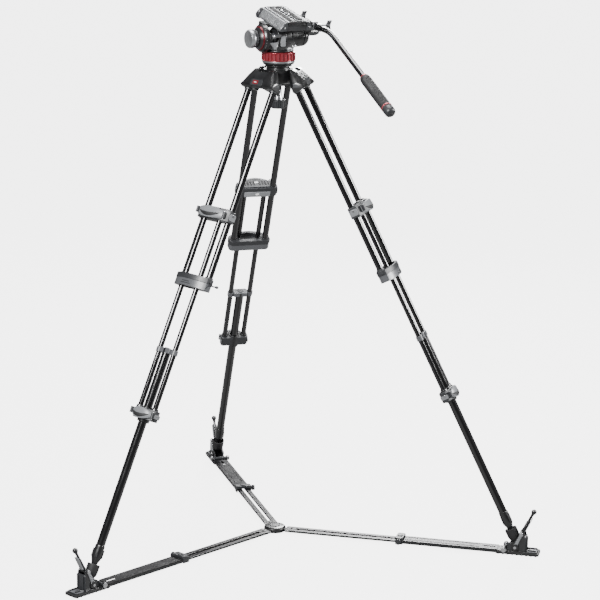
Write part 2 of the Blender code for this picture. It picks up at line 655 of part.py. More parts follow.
def build_crown(crown_frame):
    """The bowl casting with three hinge lugs and the stub pins in them."""
    seat = BALL_RADIUS + BALL_CLEARANCE
    top = math.asin(BALL_DROP / seat)
    bottom = -math.acos(BOWL_HOLE / seat)
    inside = list(arc((0.0, -BALL_DROP), seat, bottom, top, 5))
    profile = [(CROWN_RADIUS + 0.0015, 0.0), (CROWN_RADIUS + 0.0015, -0.006), (CROWN_RADIUS, -0.0075),
               (CROWN_RADIUS, -CROWN_DEPTH + 0.006), (BOWL_HOLE + 0.008, -CROWN_DEPTH),
               (BOWL_HOLE + 0.004, -CROWN_DEPTH)] + inside
    made = turned("crown", profile, crown_frame, (0.0, 0.0, RIM_HEIGHT), finish=CAST, sides=CROWN_SIDES,
                  ring=True)
    for name, azimuth in LEGS.items():
        spoke = frame(f"lug_{name}", crown_frame, (0.0, 0.0, HINGE_HEIGHT), (0.0, 0.0, -azimuth))
        reach = CROWN_RADIUS - 0.004
        lug = place("lug", block((LUG_WIDTH, HINGE_RADIUS - reach, 2 * LUG_RADIUS - 0.0004)), spoke,
                    (0.0, (HINGE_RADIUS + reach) / 2, 0.0))
        eye = place("eye", rod(LUG_RADIUS, LUG_WIDTH), spoke, (0.0, HINGE_RADIUS, 0.0), ALONG_X)
        pin = place("pin", rod(PIN_RADIUS, PIN_LENGTH), spoke, (0.0, HINGE_RADIUS, 0.0), ALONG_X)
        join(made, lug, eye, pin)


def build_half_ball(level):
    """The levelling half ball with its flange and threaded stem; the frame is at the ball's centre."""
    low = -math.acos(STEM_RADIUS / BALL_RADIUS)
    high = math.asin(0.0065 / BALL_RADIUS)
    surface = list(arc((0.0, 0.0), BALL_RADIUS, high, low, 7))
    neck = BALL_RADIUS - 0.0042
    flange = FLANGE_BOTTOM + BALL_DROP
    profile = [(0.0, flange + FLANGE_HEIGHT), (FLANGE_RADIUS, flange + FLANGE_HEIGHT),
               (FLANGE_RADIUS, flange), (neck, flange), (neck, 0.0066)] + surface
    profile += [(STEM_RADIUS, BALL_DROP - STEM_DEPTH), (0.0, BALL_DROP - STEM_DEPTH)]
    turned("half_ball", profile, level, finish=CAST, sides=CROWN_SIDES)


def build_clamp_knob(level):
    """The long-necked knob that pulls the half ball into the bowl."""
    bore = STEM_RADIUS + 0.0007
    top, bottom = BALL_DROP - KNOB_TOP, BALL_DROP - KNOB_BOTTOM
    head_top = bottom + KNOB_HEIGHT
    profile = [(0.0, BALL_DROP - STEM_DEPTH - 0.002), (bore, BALL_DROP - STEM_DEPTH - 0.002), (bore, top),
               (KNOB_NECK_RADIUS[0], top), (KNOB_NECK_RADIUS[1], head_top), (KNOB_RADIUS - 0.001, head_top),
               (KNOB_RADIUS, head_top - 0.003), (KNOB_RADIUS, bottom + 0.003), (KNOB_RADIUS - 0.002, bottom),
               (0.0, bottom)]
    turned("ball_clamp_knob", profile, level, finish=PLASTIC, sides=24)


# ---------------------------------------------------------------- fluid head

def build_head_base(head):
    hub_top = RING_BOTTOM + RING_HEIGHT
    rim = BASE_BOTTOM + BASE_HEIGHT
    profile = [(0.0, hub_top), (BASE_HUB_RADIUS, hub_top), (BASE_HUB_RADIUS, rim), (BASE_RADIUS, rim),
               (BASE_RADIUS, rim - 0.002), (BASE_RADIUS - 0.0035, BASE_BOTTOM), (0.0, BASE_BOTTOM)]
    turned("head_base", profile, head, finish=SILVER)


def build_drag_ring(head):
    """The ribbed ring that sets the pan drag."""
    outline = []
    step = 2 * math.pi / RING_RIBS
    for rib in range(RING_RIBS):
        for share, radius in ((0.0, RING_RADIUS), (0.55, RING_RADIUS), (0.78, RING_RADIUS - RIB_DEPTH)):
            angle = (rib + share) * step
            outline.append((radius * math.cos(angle), radius * math.sin(angle)))
    middle = RING_BOTTOM + RING_HEIGHT / 2
    made = place("pan_drag_ring", slab(outline, RING_HEIGHT), head, (0.0, 0.0, middle), finish=RED)
    cut(made, place("ring_bore", rod(BASE_HUB_RADIUS + SLIDING_GAP, 0.1, ROUND_SIDES), head,
                    (0.0, 0.0, middle)))


def build_pan_body(head):
    """The housing that pans: foot, tower and the drum that holds the tilt cartridge."""
    made = place("pan_body", rod(BODY_RADIUS, BODY_PLATE, ROUND_SIDES), head,
                 (0.0, 0.0, BODY_BOTTOM + BODY_PLATE / 2), finish=CAST)
    low = BODY_BOTTOM + BODY_PLATE - 0.002
    tower = place("tower", block((TOWER_X[1] - TOWER_X[0], TOWER_DEPTH, TILT_HEIGHT - low)), head,
                  ((TOWER_X[0] + TOWER_X[1]) / 2, 0.0, (TILT_HEIGHT + low) / 2))
    drum = place("drum", rod(DRUM_RADIUS, DRUM_END - TOWER_X[0] - 0.002, ROUND_SIDES), head,
                 ((DRUM_END + TOWER_X[0] + 0.002) / 2, 0.0, TILT_HEIGHT), ALONG_X)
    axle = place("axle", rod(AXLE_RADIUS, -AXLE_END, 24), head,
                 (AXLE_END / 2, 0.0, TILT_HEIGHT), ALONG_X)
    join(made, tower, drum, axle)


def build_lock_lever(head):
    """The tilt lock, on the back of the housing."""
    pivot = frame("tilt_lock_pivot", head, (LOCK_LEVER_X, -AXLE_RADIUS - GAP, TILT_HEIGHT + LOCK_LEVER_Z))
    width = 0.005
    arm_y = AXLE_RADIUS - DRUM_RADIUS - 0.001 - width / 2
    boss = width / 2 - arm_y + 0.001
    made = place("tilt_lock_lever", rod(0.009, boss), pivot, (0.0, -boss / 2, 0.0), ALONG_Y, PLASTIC)
    arm = place("lever_arm", block((LOCK_LEVER_LENGTH, width, 0.009)), pivot,
                (LOCK_LEVER_LENGTH / 2, arm_y, 0.0))
    join(made, arm)


def build_cradle(tilt):
    """The tilting frame: the drag cone, the crossbar, the right arm and the plate's receiver."""
    made = place("tilt_cradle", rod(CONE_RADIUS[0], CONE_X[1] - CONE_X[0], ROUND_SIDES, CONE_RADIUS[1]), tilt,
                 (sum(CONE_X) / 2, 0.0, 0.0), ALONG_X, CAST)
    left, right = CONE_X[1] - 0.010, BAR_LUG_X[1]
    crossbar_size = (right - left, CROSSBAR_Y[1] - CROSSBAR_Y[0], CROSSBAR_Z[1] - CROSSBAR_Z[0])
    crossbar = place("crossbar", block(crossbar_size), tilt,
                     ((left + right) / 2, sum(CROSSBAR_Y) / 2, sum(CROSSBAR_Z) / 2))
    arm_middle = sum(RIGHT_ARM_X) / 2
    arm_width = RIGHT_ARM_X[1] - RIGHT_ARM_X[0]
    web = place("web", block((arm_width - 0.002, 2 * RIGHT_ARM_RADIUS[1], CROSSBAR_Z[0] + 0.003)), tilt,
                (arm_middle, 0.0, CROSSBAR_Z[0] / 2 + 0.0015))
    cap = place("arm_end", rod(RIGHT_ARM_RADIUS[0], arm_width, 24, RIGHT_ARM_RADIUS[1]), tilt,
                (arm_middle, 0.0, 0.0), ALONG_X)
    lug_height = CROSSBAR_Z[1] - 0.002 - BAR_LUG_Z
    lug = place("bar_lug", block((BAR_LUG_X[1] - BAR_LUG_X[0] - 0.001, 2 * ROSETTE_RADIUS, lug_height)), tilt,
                (sum(BAR_LUG_X) / 2, ROSETTE_PLACE[0], BAR_LUG_Z + lug_height / 2))
    rosette = place("rosette", rod(ROSETTE_RADIUS, ROSETTE_THICKNESS + 0.003, 24), tilt,
                    (BAR_LUG_X[1] + ROSETTE_THICKNESS / 2 - 0.0015, *ROSETTE_PLACE), ALONG_X)
    tongue = place("stop_tongue", block(TONGUE_SIZE), tilt, TONGUE_PLACE)
    foot, top = RECEIVER_HALF
    low, waist, high = RECEIVER_Z
    section = [(-foot, low), (foot, low), (foot, waist), (top, high), (CHANNEL_HALF, high),
               (CHANNEL_HALF, CHANNEL_FLOOR), (-CHANNEL_HALF, CHANNEL_FLOOR), (-CHANNEL_HALF, high),
               (-top, high), (-foot, waist)]
    receiver = place("receiver", slab(section, RECEIVER_LENGTH), tilt, (RECEIVER_CENTRE, 0.0, 0.0), FACING_Y)
    join(made, crossbar, web, cap, lug, rosette, tongue, receiver)


def build_plate(tilt):
    """The sliding camera plate."""
    at = (RECEIVER_CENTRE, 0.0, CHANNEL_FLOOR + GAP + PLATE_HEIGHT / 2)
    size = (2 * (CHANNEL_HALF - SLIDING_GAP), PLATE_LENGTH, PLATE_HEIGHT)
    place("sliding_plate", block(size), tilt, at, finish=SILVER)


def build_drag_knob(tilt):
    """The knob that sets the tilt drag, on the cone's end."""
    length = DRAG_KNOB_LENGTH
    waist, rim = DRAG_KNOB_RADIUS
    profile = [(0.0, length), (rim - 0.003, length), (rim, length - 0.003), (rim, length * 0.45),
               (waist, 0.006), (waist, 0.0), (0.0, 0.0)]
    turned("tilt_drag_knob", profile, tilt, (CONE_X[0] - GAP, 0.0, 0.0), (0.0, math.radians(-90), 0.0),
           PLASTIC, sides=28)


def bar_route():
    """The pan bar from its hub: nearly level, then bent down to the grip; last direction too."""
    slope = BAR_START_SLOPE
    points = [(0.0, 0.0, 0.0)]
    y, z = -BAR_START * math.cos(slope), -BAR_START * math.sin(slope)
    points.append((0.0, y, z))
    steps = 7
    for step in range(1, steps + 1):
        angle = slope + (BAR_DROP - slope) * step / steps
        points.append((0.0, y - BAR_BEND_RADIUS * (math.sin(angle) - math.sin(slope)),
                       z - BAR_BEND_RADIUS * (math.cos(slope) - math.cos(angle))))
    ahead = Vector((0.0, -math.cos(BAR_DROP), -math.sin(BAR_DROP)))
    end = Vector(points[-1]) + ahead * BAR_STRAIGHT
    points.append(tuple(end))
    return points, ahead


def build_pan_bar(tilt):
    """The bar on its rosette, its grip and its clamp knob."""
    hub_x = BAR_LUG_X[1] + ROSETTE_THICKNESS + GAP + BAR_HUB_LENGTH / 2
    pivot = frame("pan_bar_pivot", tilt, (hub_x, *ROSETTE_PLACE), (-TILT_AT_REST, 0.0, 0.0))
    hub = frame("pan_bar_splay", pivot, turn=(0.0, 0.0, BAR_SPLAY))
    route, ahead = bar_route()
    made = place("pan_bar", wire(route, BAR_RADIUS), hub, finish=ANODISED)
    join(made, place("bar_hub", rod(ROSETTE_RADIUS - 0.0005, BAR_HUB_LENGTH, 24), pivot, turn=ALONG_X))
    bore, length = BAR_RADIUS + GAP, GRIP_LENGTH
    profile = [(0.0, GRIP_CAP), (bore, GRIP_CAP), (bore, length), (GRIP_RADIUS - 0.002, length),
               (GRIP_RADIUS, length - 0.004), (GRIP_RADIUS, 0.004), (GRIP_RADIUS - 0.003, 0.0), (0.0, 0.0)]
    end = Vector(route[-1]) + ahead * (GRIP_CAP + GAP)
    turned("pan_bar_grip", profile, hub, end, (math.radians(-90) + BAR_DROP, 0.0, 0.0), RUBBER, sides=24)
    wing_knob("pan_bar_clamp_knob", pivot, (BAR_HUB_LENGTH / 2 + GAP, 0.0, 0.0), BAR_STALK)


def wing_knob(name, parent, at, stalk):
    """A stalk along +X with a wing on its end, turning about X."""
    pivot = frame(f"{name}_axis", parent, at)
    made = place(name, rod(STALK_RADIUS, stalk), pivot, (stalk / 2, 0.0, 0.0), ALONG_X, PLASTIC)
    join(made, place("wing", block(WING_SIZE), pivot, (stalk + WING_SIZE[0] / 2 - 0.003, 0.0, 0.0)))


def build_head(level):
    head = frame("pan_frame", level, (0.0, 0.0, BALL_DROP), (0.0, 0.0, PAN_AT_REST))
    build_head_base(head)
    build_drag_ring(head)
    build_pan_body(head)
    build_lock_lever(head)
    tilt = frame("tilt_axis", head, (0.0, 0.0, TILT_HEIGHT), (TILT_AT_REST, 0.0, 0.0))
    build_cradle(tilt)
    build_plate(tilt)
    build_drag_knob(tilt)
    build_pan_bar(tilt)
    receiver_side = RECEIVER_CENTRE + RECEIVER_HALF[0]
    wing_knob("plate_lock_knob", tilt, (receiver_side + GAP, PLATE_LOCK_Y, sum(RECEIVER_Z[:2]) / 2),
              PLATE_STALK)


# ---------------------------------------------------------------- the whole tripod

def main():
    crown_frame = frame("tripod", None)
    build_crown(crown_frame)
    for name, azimuth in LEGS.items():
        build_leg(name, azimuth, crown_frame)
    floor = frame("floor_level", crown_frame)
    build_hub(floor)
    for name, azimuth in LEGS.items():
        spoke = frame(f"spreader_{name}", floor, turn=(0.0, 0.0, -azimuth))
        build_inner_arm(name, spoke)
        build_outer_arm(name, spoke)
    level = frame("ball_centre", crown_frame, (0.0, 0.0, RIM_HEIGHT - BALL_DROP))
    build_half_ball(level)
    build_clamp_knob(level)
    build_head(level)


main()
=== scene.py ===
"""Looks of a video tripod: three telescopic legs, a fluid head on a half ball and a ground spreader."""

import json
import logging
import math
from dataclasses import dataclass, field
from enum import Enum
from typing import Callable, Iterable, Sequence

import bmesh
import bpy
from mathutils import Matrix, Vector


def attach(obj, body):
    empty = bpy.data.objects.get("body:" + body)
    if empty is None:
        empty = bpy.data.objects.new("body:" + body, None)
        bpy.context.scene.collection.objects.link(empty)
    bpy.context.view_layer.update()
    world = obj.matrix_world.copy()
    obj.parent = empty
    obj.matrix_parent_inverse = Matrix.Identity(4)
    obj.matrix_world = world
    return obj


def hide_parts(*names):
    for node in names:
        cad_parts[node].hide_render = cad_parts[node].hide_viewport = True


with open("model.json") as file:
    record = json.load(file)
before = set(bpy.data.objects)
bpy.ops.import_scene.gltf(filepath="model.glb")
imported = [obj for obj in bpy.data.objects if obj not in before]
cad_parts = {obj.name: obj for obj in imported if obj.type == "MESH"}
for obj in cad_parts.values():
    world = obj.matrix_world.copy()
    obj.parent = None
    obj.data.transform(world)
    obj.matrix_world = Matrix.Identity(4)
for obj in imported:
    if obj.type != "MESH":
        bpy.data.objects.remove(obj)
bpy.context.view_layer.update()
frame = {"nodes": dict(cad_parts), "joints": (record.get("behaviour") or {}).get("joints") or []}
JOINTS: dict[str, dict] = {joint["name"]: joint for joint in frame["joints"]}
LOG = logging.getLogger("tripod")
Point2 = tuple[float, float]
Point3 = tuple[float, float, float]
STILL = Matrix.Identity(4)
QUARTER = math.pi / 2
MM = 0.001                             # the looks are sized in millimetres, the frame in metres
UP = Vector((0.0, 0.0, 1.0))
SIDES = ((-1, "-X"), (1, "X"))
# An outline drawn in X and Z and raised along Y, and one drawn in Y and Z and raised along X.
FROM_XZ = Matrix(((1, 0, 0, 0), (0, 0, 1, 0), (0, 1, 0, 0), (0, 0, 0, 1)))
FROM_YZ = Matrix(((0, 0, 1, 0), (1, 0, 0, 0), (0, 1, 0, 0), (0, 0, 0, 1)))


class Leg(Enum):
    """The three legs, by where they stand."""

    FRONT = "front"
    RIGHT = "right"
    LEFT = "left"


class End(Enum):
    """The two clamp levers of a leg."""

    UPPER = "upper"
    LOWER = "lower"


# ---------------------------------------------------------------- finishes

def linear(code: str) -> tuple[float, float, float, float]:
    """Turns an sRGB hex value into linear light.

    Args:
        code: six hex digits, with a hash in front.
    Returns:
        Red, green, blue and a full alpha.
    """
    parts = [int(code[i:i + 2], 16) / 255 for i in (1, 3, 5)]
    red, green, blue = [p / 12.92 if p <= 0.04045 else ((p + 0.055) / 1.055) ** 2.4 for p in parts]
    return red, green, blue, 1.0


def add_node(tree: bpy.types.NodeTree, kind: str, settings: dict | None = None,
             inputs: dict | None = None) -> bpy.types.Node:
    """Adds one node.

    Args:
        tree: the material's node tree.
        kind: the node's type name.
        settings: the node's own properties.
        inputs: a value, or another node's output, for each named or numbered socket.
    Returns:
        The node.
    """
    node = tree.nodes.new(kind)
    for name, value in (settings or {}).items():
        setattr(node, name, value)
    for name, value in (inputs or {}).items():
        if isinstance(value, bpy.types.NodeSocket):
            tree.links.new(value, node.inputs[name])
        else:
            node.inputs[name].default_value = value
    return node


@dataclass(frozen=True)
class Finish:
    """A finish: its colours, its gloss and the pattern that its making leaves on the surface."""

    name: str
    slot: str
    colour: str
    wear_and_highlight: str                      # colour of rubbed edges and of the pattern's high spots; on the red anodising it is a pink painted highlight
    roughness: float
    metallic: float = 0.0
    grain_mm: float = 1.0          # real size of the pattern, or the smallest that shows
    depth_mm: float = 0.05
    drawn: Point3 = (1.0, 1.0, 1.0)    # how the grain is stretched along the piece's axes
    mottle: float = 0.25
    # How strongly the edge colour lies on rubbed edges; on the red anodising it lays on a painted highlight.
    edge_wear_and_highlight: float = 0.35
    coat: float = 0.0
    coat_roughness: float = 0.1

    def material(self) -> bpy.types.Material:
        """The material, made once and then found again by its name."""
        found = bpy.data.materials.get(self.name)
        if found:
            return found
        made = bpy.data.materials.new(self.name)
        made.use_nodes = True
        tree = made.node_tree
        shader = tree.nodes["Principled BSDF"]
        place = add_node(tree, "ShaderNodeTexCoord")
        scaled = add_node(tree, "ShaderNodeMapping",
                          inputs={"Vector": place.outputs["Object"], "Scale": self.drawn})
        grain = add_node(tree, "ShaderNodeTexNoise", inputs={"Vector": scaled.outputs[0],
                                                             "Scale": 1 / (self.grain_mm * MM), "Detail": 4.0,
                                                             "Roughness": 0.6})
        cloud = add_node(tree, "ShaderNodeTexNoise", inputs={"Vector": place.outputs["Object"], "Scale": 24.0,
                                                             "Detail": 3.0})
        geometry = add_node(tree, "ShaderNodeNewGeometry")
        # Rubbed edges, found by pointiness; on the red anodising the same edges take a pink painted highlight.
        edge = add_node(tree, "ShaderNodeMapRange", inputs={"Value": geometry.outputs["Pointiness"],
                                                            "From Min": 0.53, "From Max": 0.62,
                                                            "To Max": self.edge_wear_and_highlight})
        rubbed_and_highlit = add_node(tree, "ShaderNodeMath", {"operation": "MULTIPLY"},
                          {0: edge.outputs[0], 1: cloud.outputs["Fac"]})
        spread = add_node(tree, "ShaderNodeMapRange", inputs={"Value": grain.outputs["Fac"], "From Min": 0.35,
                                                              "From Max": 0.75, "To Max": self.mottle})
        share = add_node(tree, "ShaderNodeMath", {"operation": "MAXIMUM"},
                         {0: rubbed_and_highlit.outputs[0], 1: spread.outputs[0]})
        tone = add_node(tree, "ShaderNodeMix", {"data_type": "RGBA"}, {"Factor": share.outputs[0],
                                                                       "A": linear(self.colour),
                                                                       "B": linear(self.wear_and_highlight)})
        gloss = add_node(tree, "ShaderNodeMapRange", inputs={"Value": cloud.outputs["Fac"], "From Min": 0.3,
                                                             "From Max": 0.7, "To Min": self.roughness * 0.82,
                                                             "To Max": min(1.0, self.roughness * 1.2)})
        bump = add_node(tree, "ShaderNodeBump", inputs={"Height": grain.outputs["Fac"],
                                                        "Distance": self.depth_mm * MM, "Strength": 0.6})
        tree.links.new(tone.outputs["Result"], shader.inputs["Base Color"])
        tree.links.new(gloss.outputs[0], shader.inputs["Roughness"])
        tree.links.new(bump.outputs[0], shader.inputs["Normal"])
        shader.inputs["Metallic"].default_value = self.metallic
        shader.inputs["Coat Weight"].default_value = self.coat
        shader.inputs["Coat Roughness"].default_value = self.coat_roughness
        return made


TUBE_SLOT, CAST_SLOT, PLASTIC_SLOT = "black_anodised_tube", "black_painted_casting", "dark_moulded_plastic"
GREY_SLOT, RED_SLOT, SILVER_SLOT = "grey_lever_plastic", "red_anodised_ring", "satin_silver_plate"
RUBBER_SLOT = "black_rubber"

# Drawn and black anodised aluminium: fine lines along the tube break up a bright, narrow highlight.
TUBE = Finish("drawn_black_anodised_aluminium", TUBE_SLOT, "#0b0b0d", "#26262a", 0.20, 0.35, 0.8, 0.02,
              (1.0, 1.0, 0.02), 0.2, 0.25, 1.0, 0.09)
# The same on flat bar and channel, a little duller from handling on the ground.
BAR_STOCK = Finish("extruded_black_anodised_aluminium", TUBE_SLOT, "#131315", "#3c3d40", 0.32, 0.4, 0.9, 0.03,
                   (1.0, 0.03, 1.0), 0.3, 0.6, 0.35, 0.18)
# Magnesium casting under powder paint: a soft orange peel of about 1.2 mm, with rubbed edges.
CASTING = Finish("powder_painted_casting", CAST_SLOT, "#0c0c0d", "#55575b", 0.34, 0.1, 1.2, 0.06, mottle=0.10,
                 edge_wear_and_highlight=0.7, coat=0.5, coat_roughness=0.16)
# Glass filled nylon, spark textured: grey flecks and a dull sheen.
NYLON = Finish("moulded_glass_filled_nylon", PLASTIC_SLOT, "#161719", "#606266", 0.42, 0.0, 0.7, 0.08, mottle=0.3,
               edge_wear_and_highlight=0.7)
# The same nylon in the lighter grey of the bands, levers and end faces.
LIGHT_NYLON = Finish("moulded_light_grey_nylon", GREY_SLOT, "#606265", "#c3c5c7", 0.34, 0.0, 0.7, 0.06, mottle=0.3,
                     edge_wear_and_highlight=0.8, coat=0.15, coat_roughness=0.25)
# The same nylon as the bands and the knob skirts have it: darker, with pale scuffs on its corners.
MID_NYLON = Finish("moulded_mid_grey_nylon", GREY_SLOT, "#3d3e41", "#8d8f92", 0.36, 0.0, 0.7, 0.06, mottle=0.3,
                   edge_wear_and_highlight=0.9, coat=0.2, coat_roughness=0.2)
# Polished acetal buttons: pale and smooth.
ACETAL = Finish("moulded_pale_acetal", GREY_SLOT, "#d5d6d6", "#f2f2f0", 0.3, 0.0, 1.5, 0.02, mottle=0.2)
# Red anodised aluminium: saturated colour, with a pink painted highlight on the rib edges and along the grain.
RED = Finish("turned_red_anodised_aluminium", RED_SLOT, "#8e0e1d", "#f0a6ae", 0.20, 0.6, 0.9, 0.02,
             (1.0, 1.0, 0.05), 0.25, 0.9, 0.4, 0.1)
# The same red darkened as painted shade, for the narrow ring let into the drag housing, where little light reaches
# it.
SHADED_RED = Finish("turned_red_anodised_aluminium_painted_shade", RED_SLOT, "#4c0710", "#a04a54", 0.28, 0.5, 0.9, 0.02)
# Extruded plate and knob cap in natural anodised aluminium: a silky grey with long lines.
SILVER = Finish("extruded_natural_anodised_aluminium", SILVER_SLOT, "#a7a9ac", "#dfe0e2", 0.3, 0.85, 0.8, 0.04,
                (1.0, 0.03, 1.0), 0.3, 0.6)
# Turned steel screws, pins and spikes: bright, with rings from the tool.
STEEL = Finish("turned_bright_steel", SILVER_SLOT, "#b9babc", "#e6e6e7", 0.22, 1.0, 0.5, 0.02, mottle=0.2)
# Moulded nitrile rubber: nearly black, with a fine dusty grain that kills the gloss.
RUBBER = Finish("moulded_black_rubber", RUBBER_SLOT, "#0f0f10", "#3a3a3c", 0.60, 0.0, 0.9, 0.12, mottle=0.3,
                edge_wear_and_highlight=0.5)


# ---------------------------------------------------------------- solids

def arc(radius: float, start: float, end: float, steps: int, centre: Point2 = (0.0, 0.0)) -> list[Point2]:
    """Points on a circle from one angle to another.

    Args:
        radius: of the circle.
        start: first angle, in radians.
        end: last angle.
        steps: number of chords.
        centre: of the circle.
    Returns:
        The points, ends included.
    """
    angles = [start + (end - start) * i / steps for i in range(steps + 1)]
    return [(centre[0] + radius * math.cos(a), centre[1] + radius * math.sin(a)) for a in angles]


def stadium(length: float, width: float, steps: int = 8) -> list[Point2]:
    """Outline of a slot with round ends, long along its first axis."""
    half = (length - width) / 2
    return (arc(width / 2, -QUARTER, QUARTER, steps, (half, 0.0))
            + arc(width / 2, QUARTER, 3 * QUARTER, steps, (-half, 0.0)))


def rectangle(x0: float, x1: float, y0: float, y1: float, corner: float = 0.0, steps: int = 4) -> list[Point2]:
    """Outline of a rectangle, with round corners where a corner radius is given.

    Args:
        x0: left side.
        x1: right side.
        y0: lower side.
        y1: upper side.
        corner: radius of the corners.
        steps: chords of each corner.
    Returns:
        The outline.
    """
    if corner <= 0:
        return [(x1, y0), (x1, y1), (x0, y1), (x0, y0)]
    outline: list[Point2] = []
    for i, (x, y) in enumerate(((x1 - corner, y0 + corner), (x1 - corner, y1 - corner), (x0 + corner, y1 - corner),
                                (x0 + corner, y0 + corner))):
        outline += arc(corner, (i - 1) * QUARTER, i * QUARTER, steps, (x, y))
    return outline


def gear(radius: float, depth: float, ribs: int, share: float = 0.55) -> list[Point2]:
    """Outline of a knurled knob.

    Args:
        radius: over the ribs.
        depth: of the grooves.
        ribs: how many.
        share: of each step that the rib's top takes.
    Returns:
        The outline.
    """
    outline: list[Point2] = []
    for rib in range(ribs):
        for part, reach in ((0.0, radius), (share, radius), (share + 0.12, radius - depth), (0.88, radius - depth)):
            angle = (rib + part) * 2 * math.pi / ribs
            outline.append((reach * math.cos(angle), reach * math.sin(angle)))
    return outline


def bow_circle(half_width: float, side: float, front: float) -> Point2:
    """Radius and half angle of the arc from (half_width, side) over (0, front).

    Args:
        half_width: half the chord.
        side: height of its ends.
        front: height of its middle.
    Returns:
        The radius, and half the angle that the arc spans.
    """
    rise = front - side
    radius = (half_width ** 2 + rise ** 2) / (2 * rise)
    return radius, math.asin(min(1.0, half_width / radius))


def saddle(half_width: float, side: float, front: float, back: float, corner: float,
           steps: int = 24) -> list[Point2]:
    """Outline of a casting with a flat back, chamfered corners and a bowed front.

    Args:
        half_width: half the casting's width.
        side: where the bow starts, along Y.
        front: the bow's highest point.
        back: the flat back.
        corner: the chamfer.
        steps: chords of the bow.
    Returns:
        The outline.
    """
    radius, reach = bow_circle(half_width, side, front)
    bow = arc(radius, QUARTER - reach, QUARTER + reach, steps, (0.0, front - radius))
    return ([(half_width - corner, back), (half_width, back + corner)] + bow
            + [(-half_width, back + corner), (-half_width + corner, back)])


def turned_to(axis: str) -> Matrix:
    """A turn that takes Z to one of the axes X, -X, Y or -Y.

    Args:
        axis: where Z goes, also Z or -Z.
    Returns:
        The turn.
    """
    turns = {"X": ("Y", 90), "-X": ("Y", -90), "Y": ("X", -90), "-Y": ("X", 90), "Z": ("X", 0), "-Z": ("X", 180)}
    about, angle = turns[axis]
    return Matrix.Rotation(math.radians(angle), 4, about)


def at(x: float = 0.0, y: float = 0.0, z: float = 0.0, axis: str = "Z", spin: float = 0.0) -> Matrix:
    """A place, with Z turned to an axis and a spin about it in degrees."""
    return Matrix.Translation((x, y, z)) @ turned_to(axis) @ Matrix.Rotation(math.radians(spin), 4, "Z")


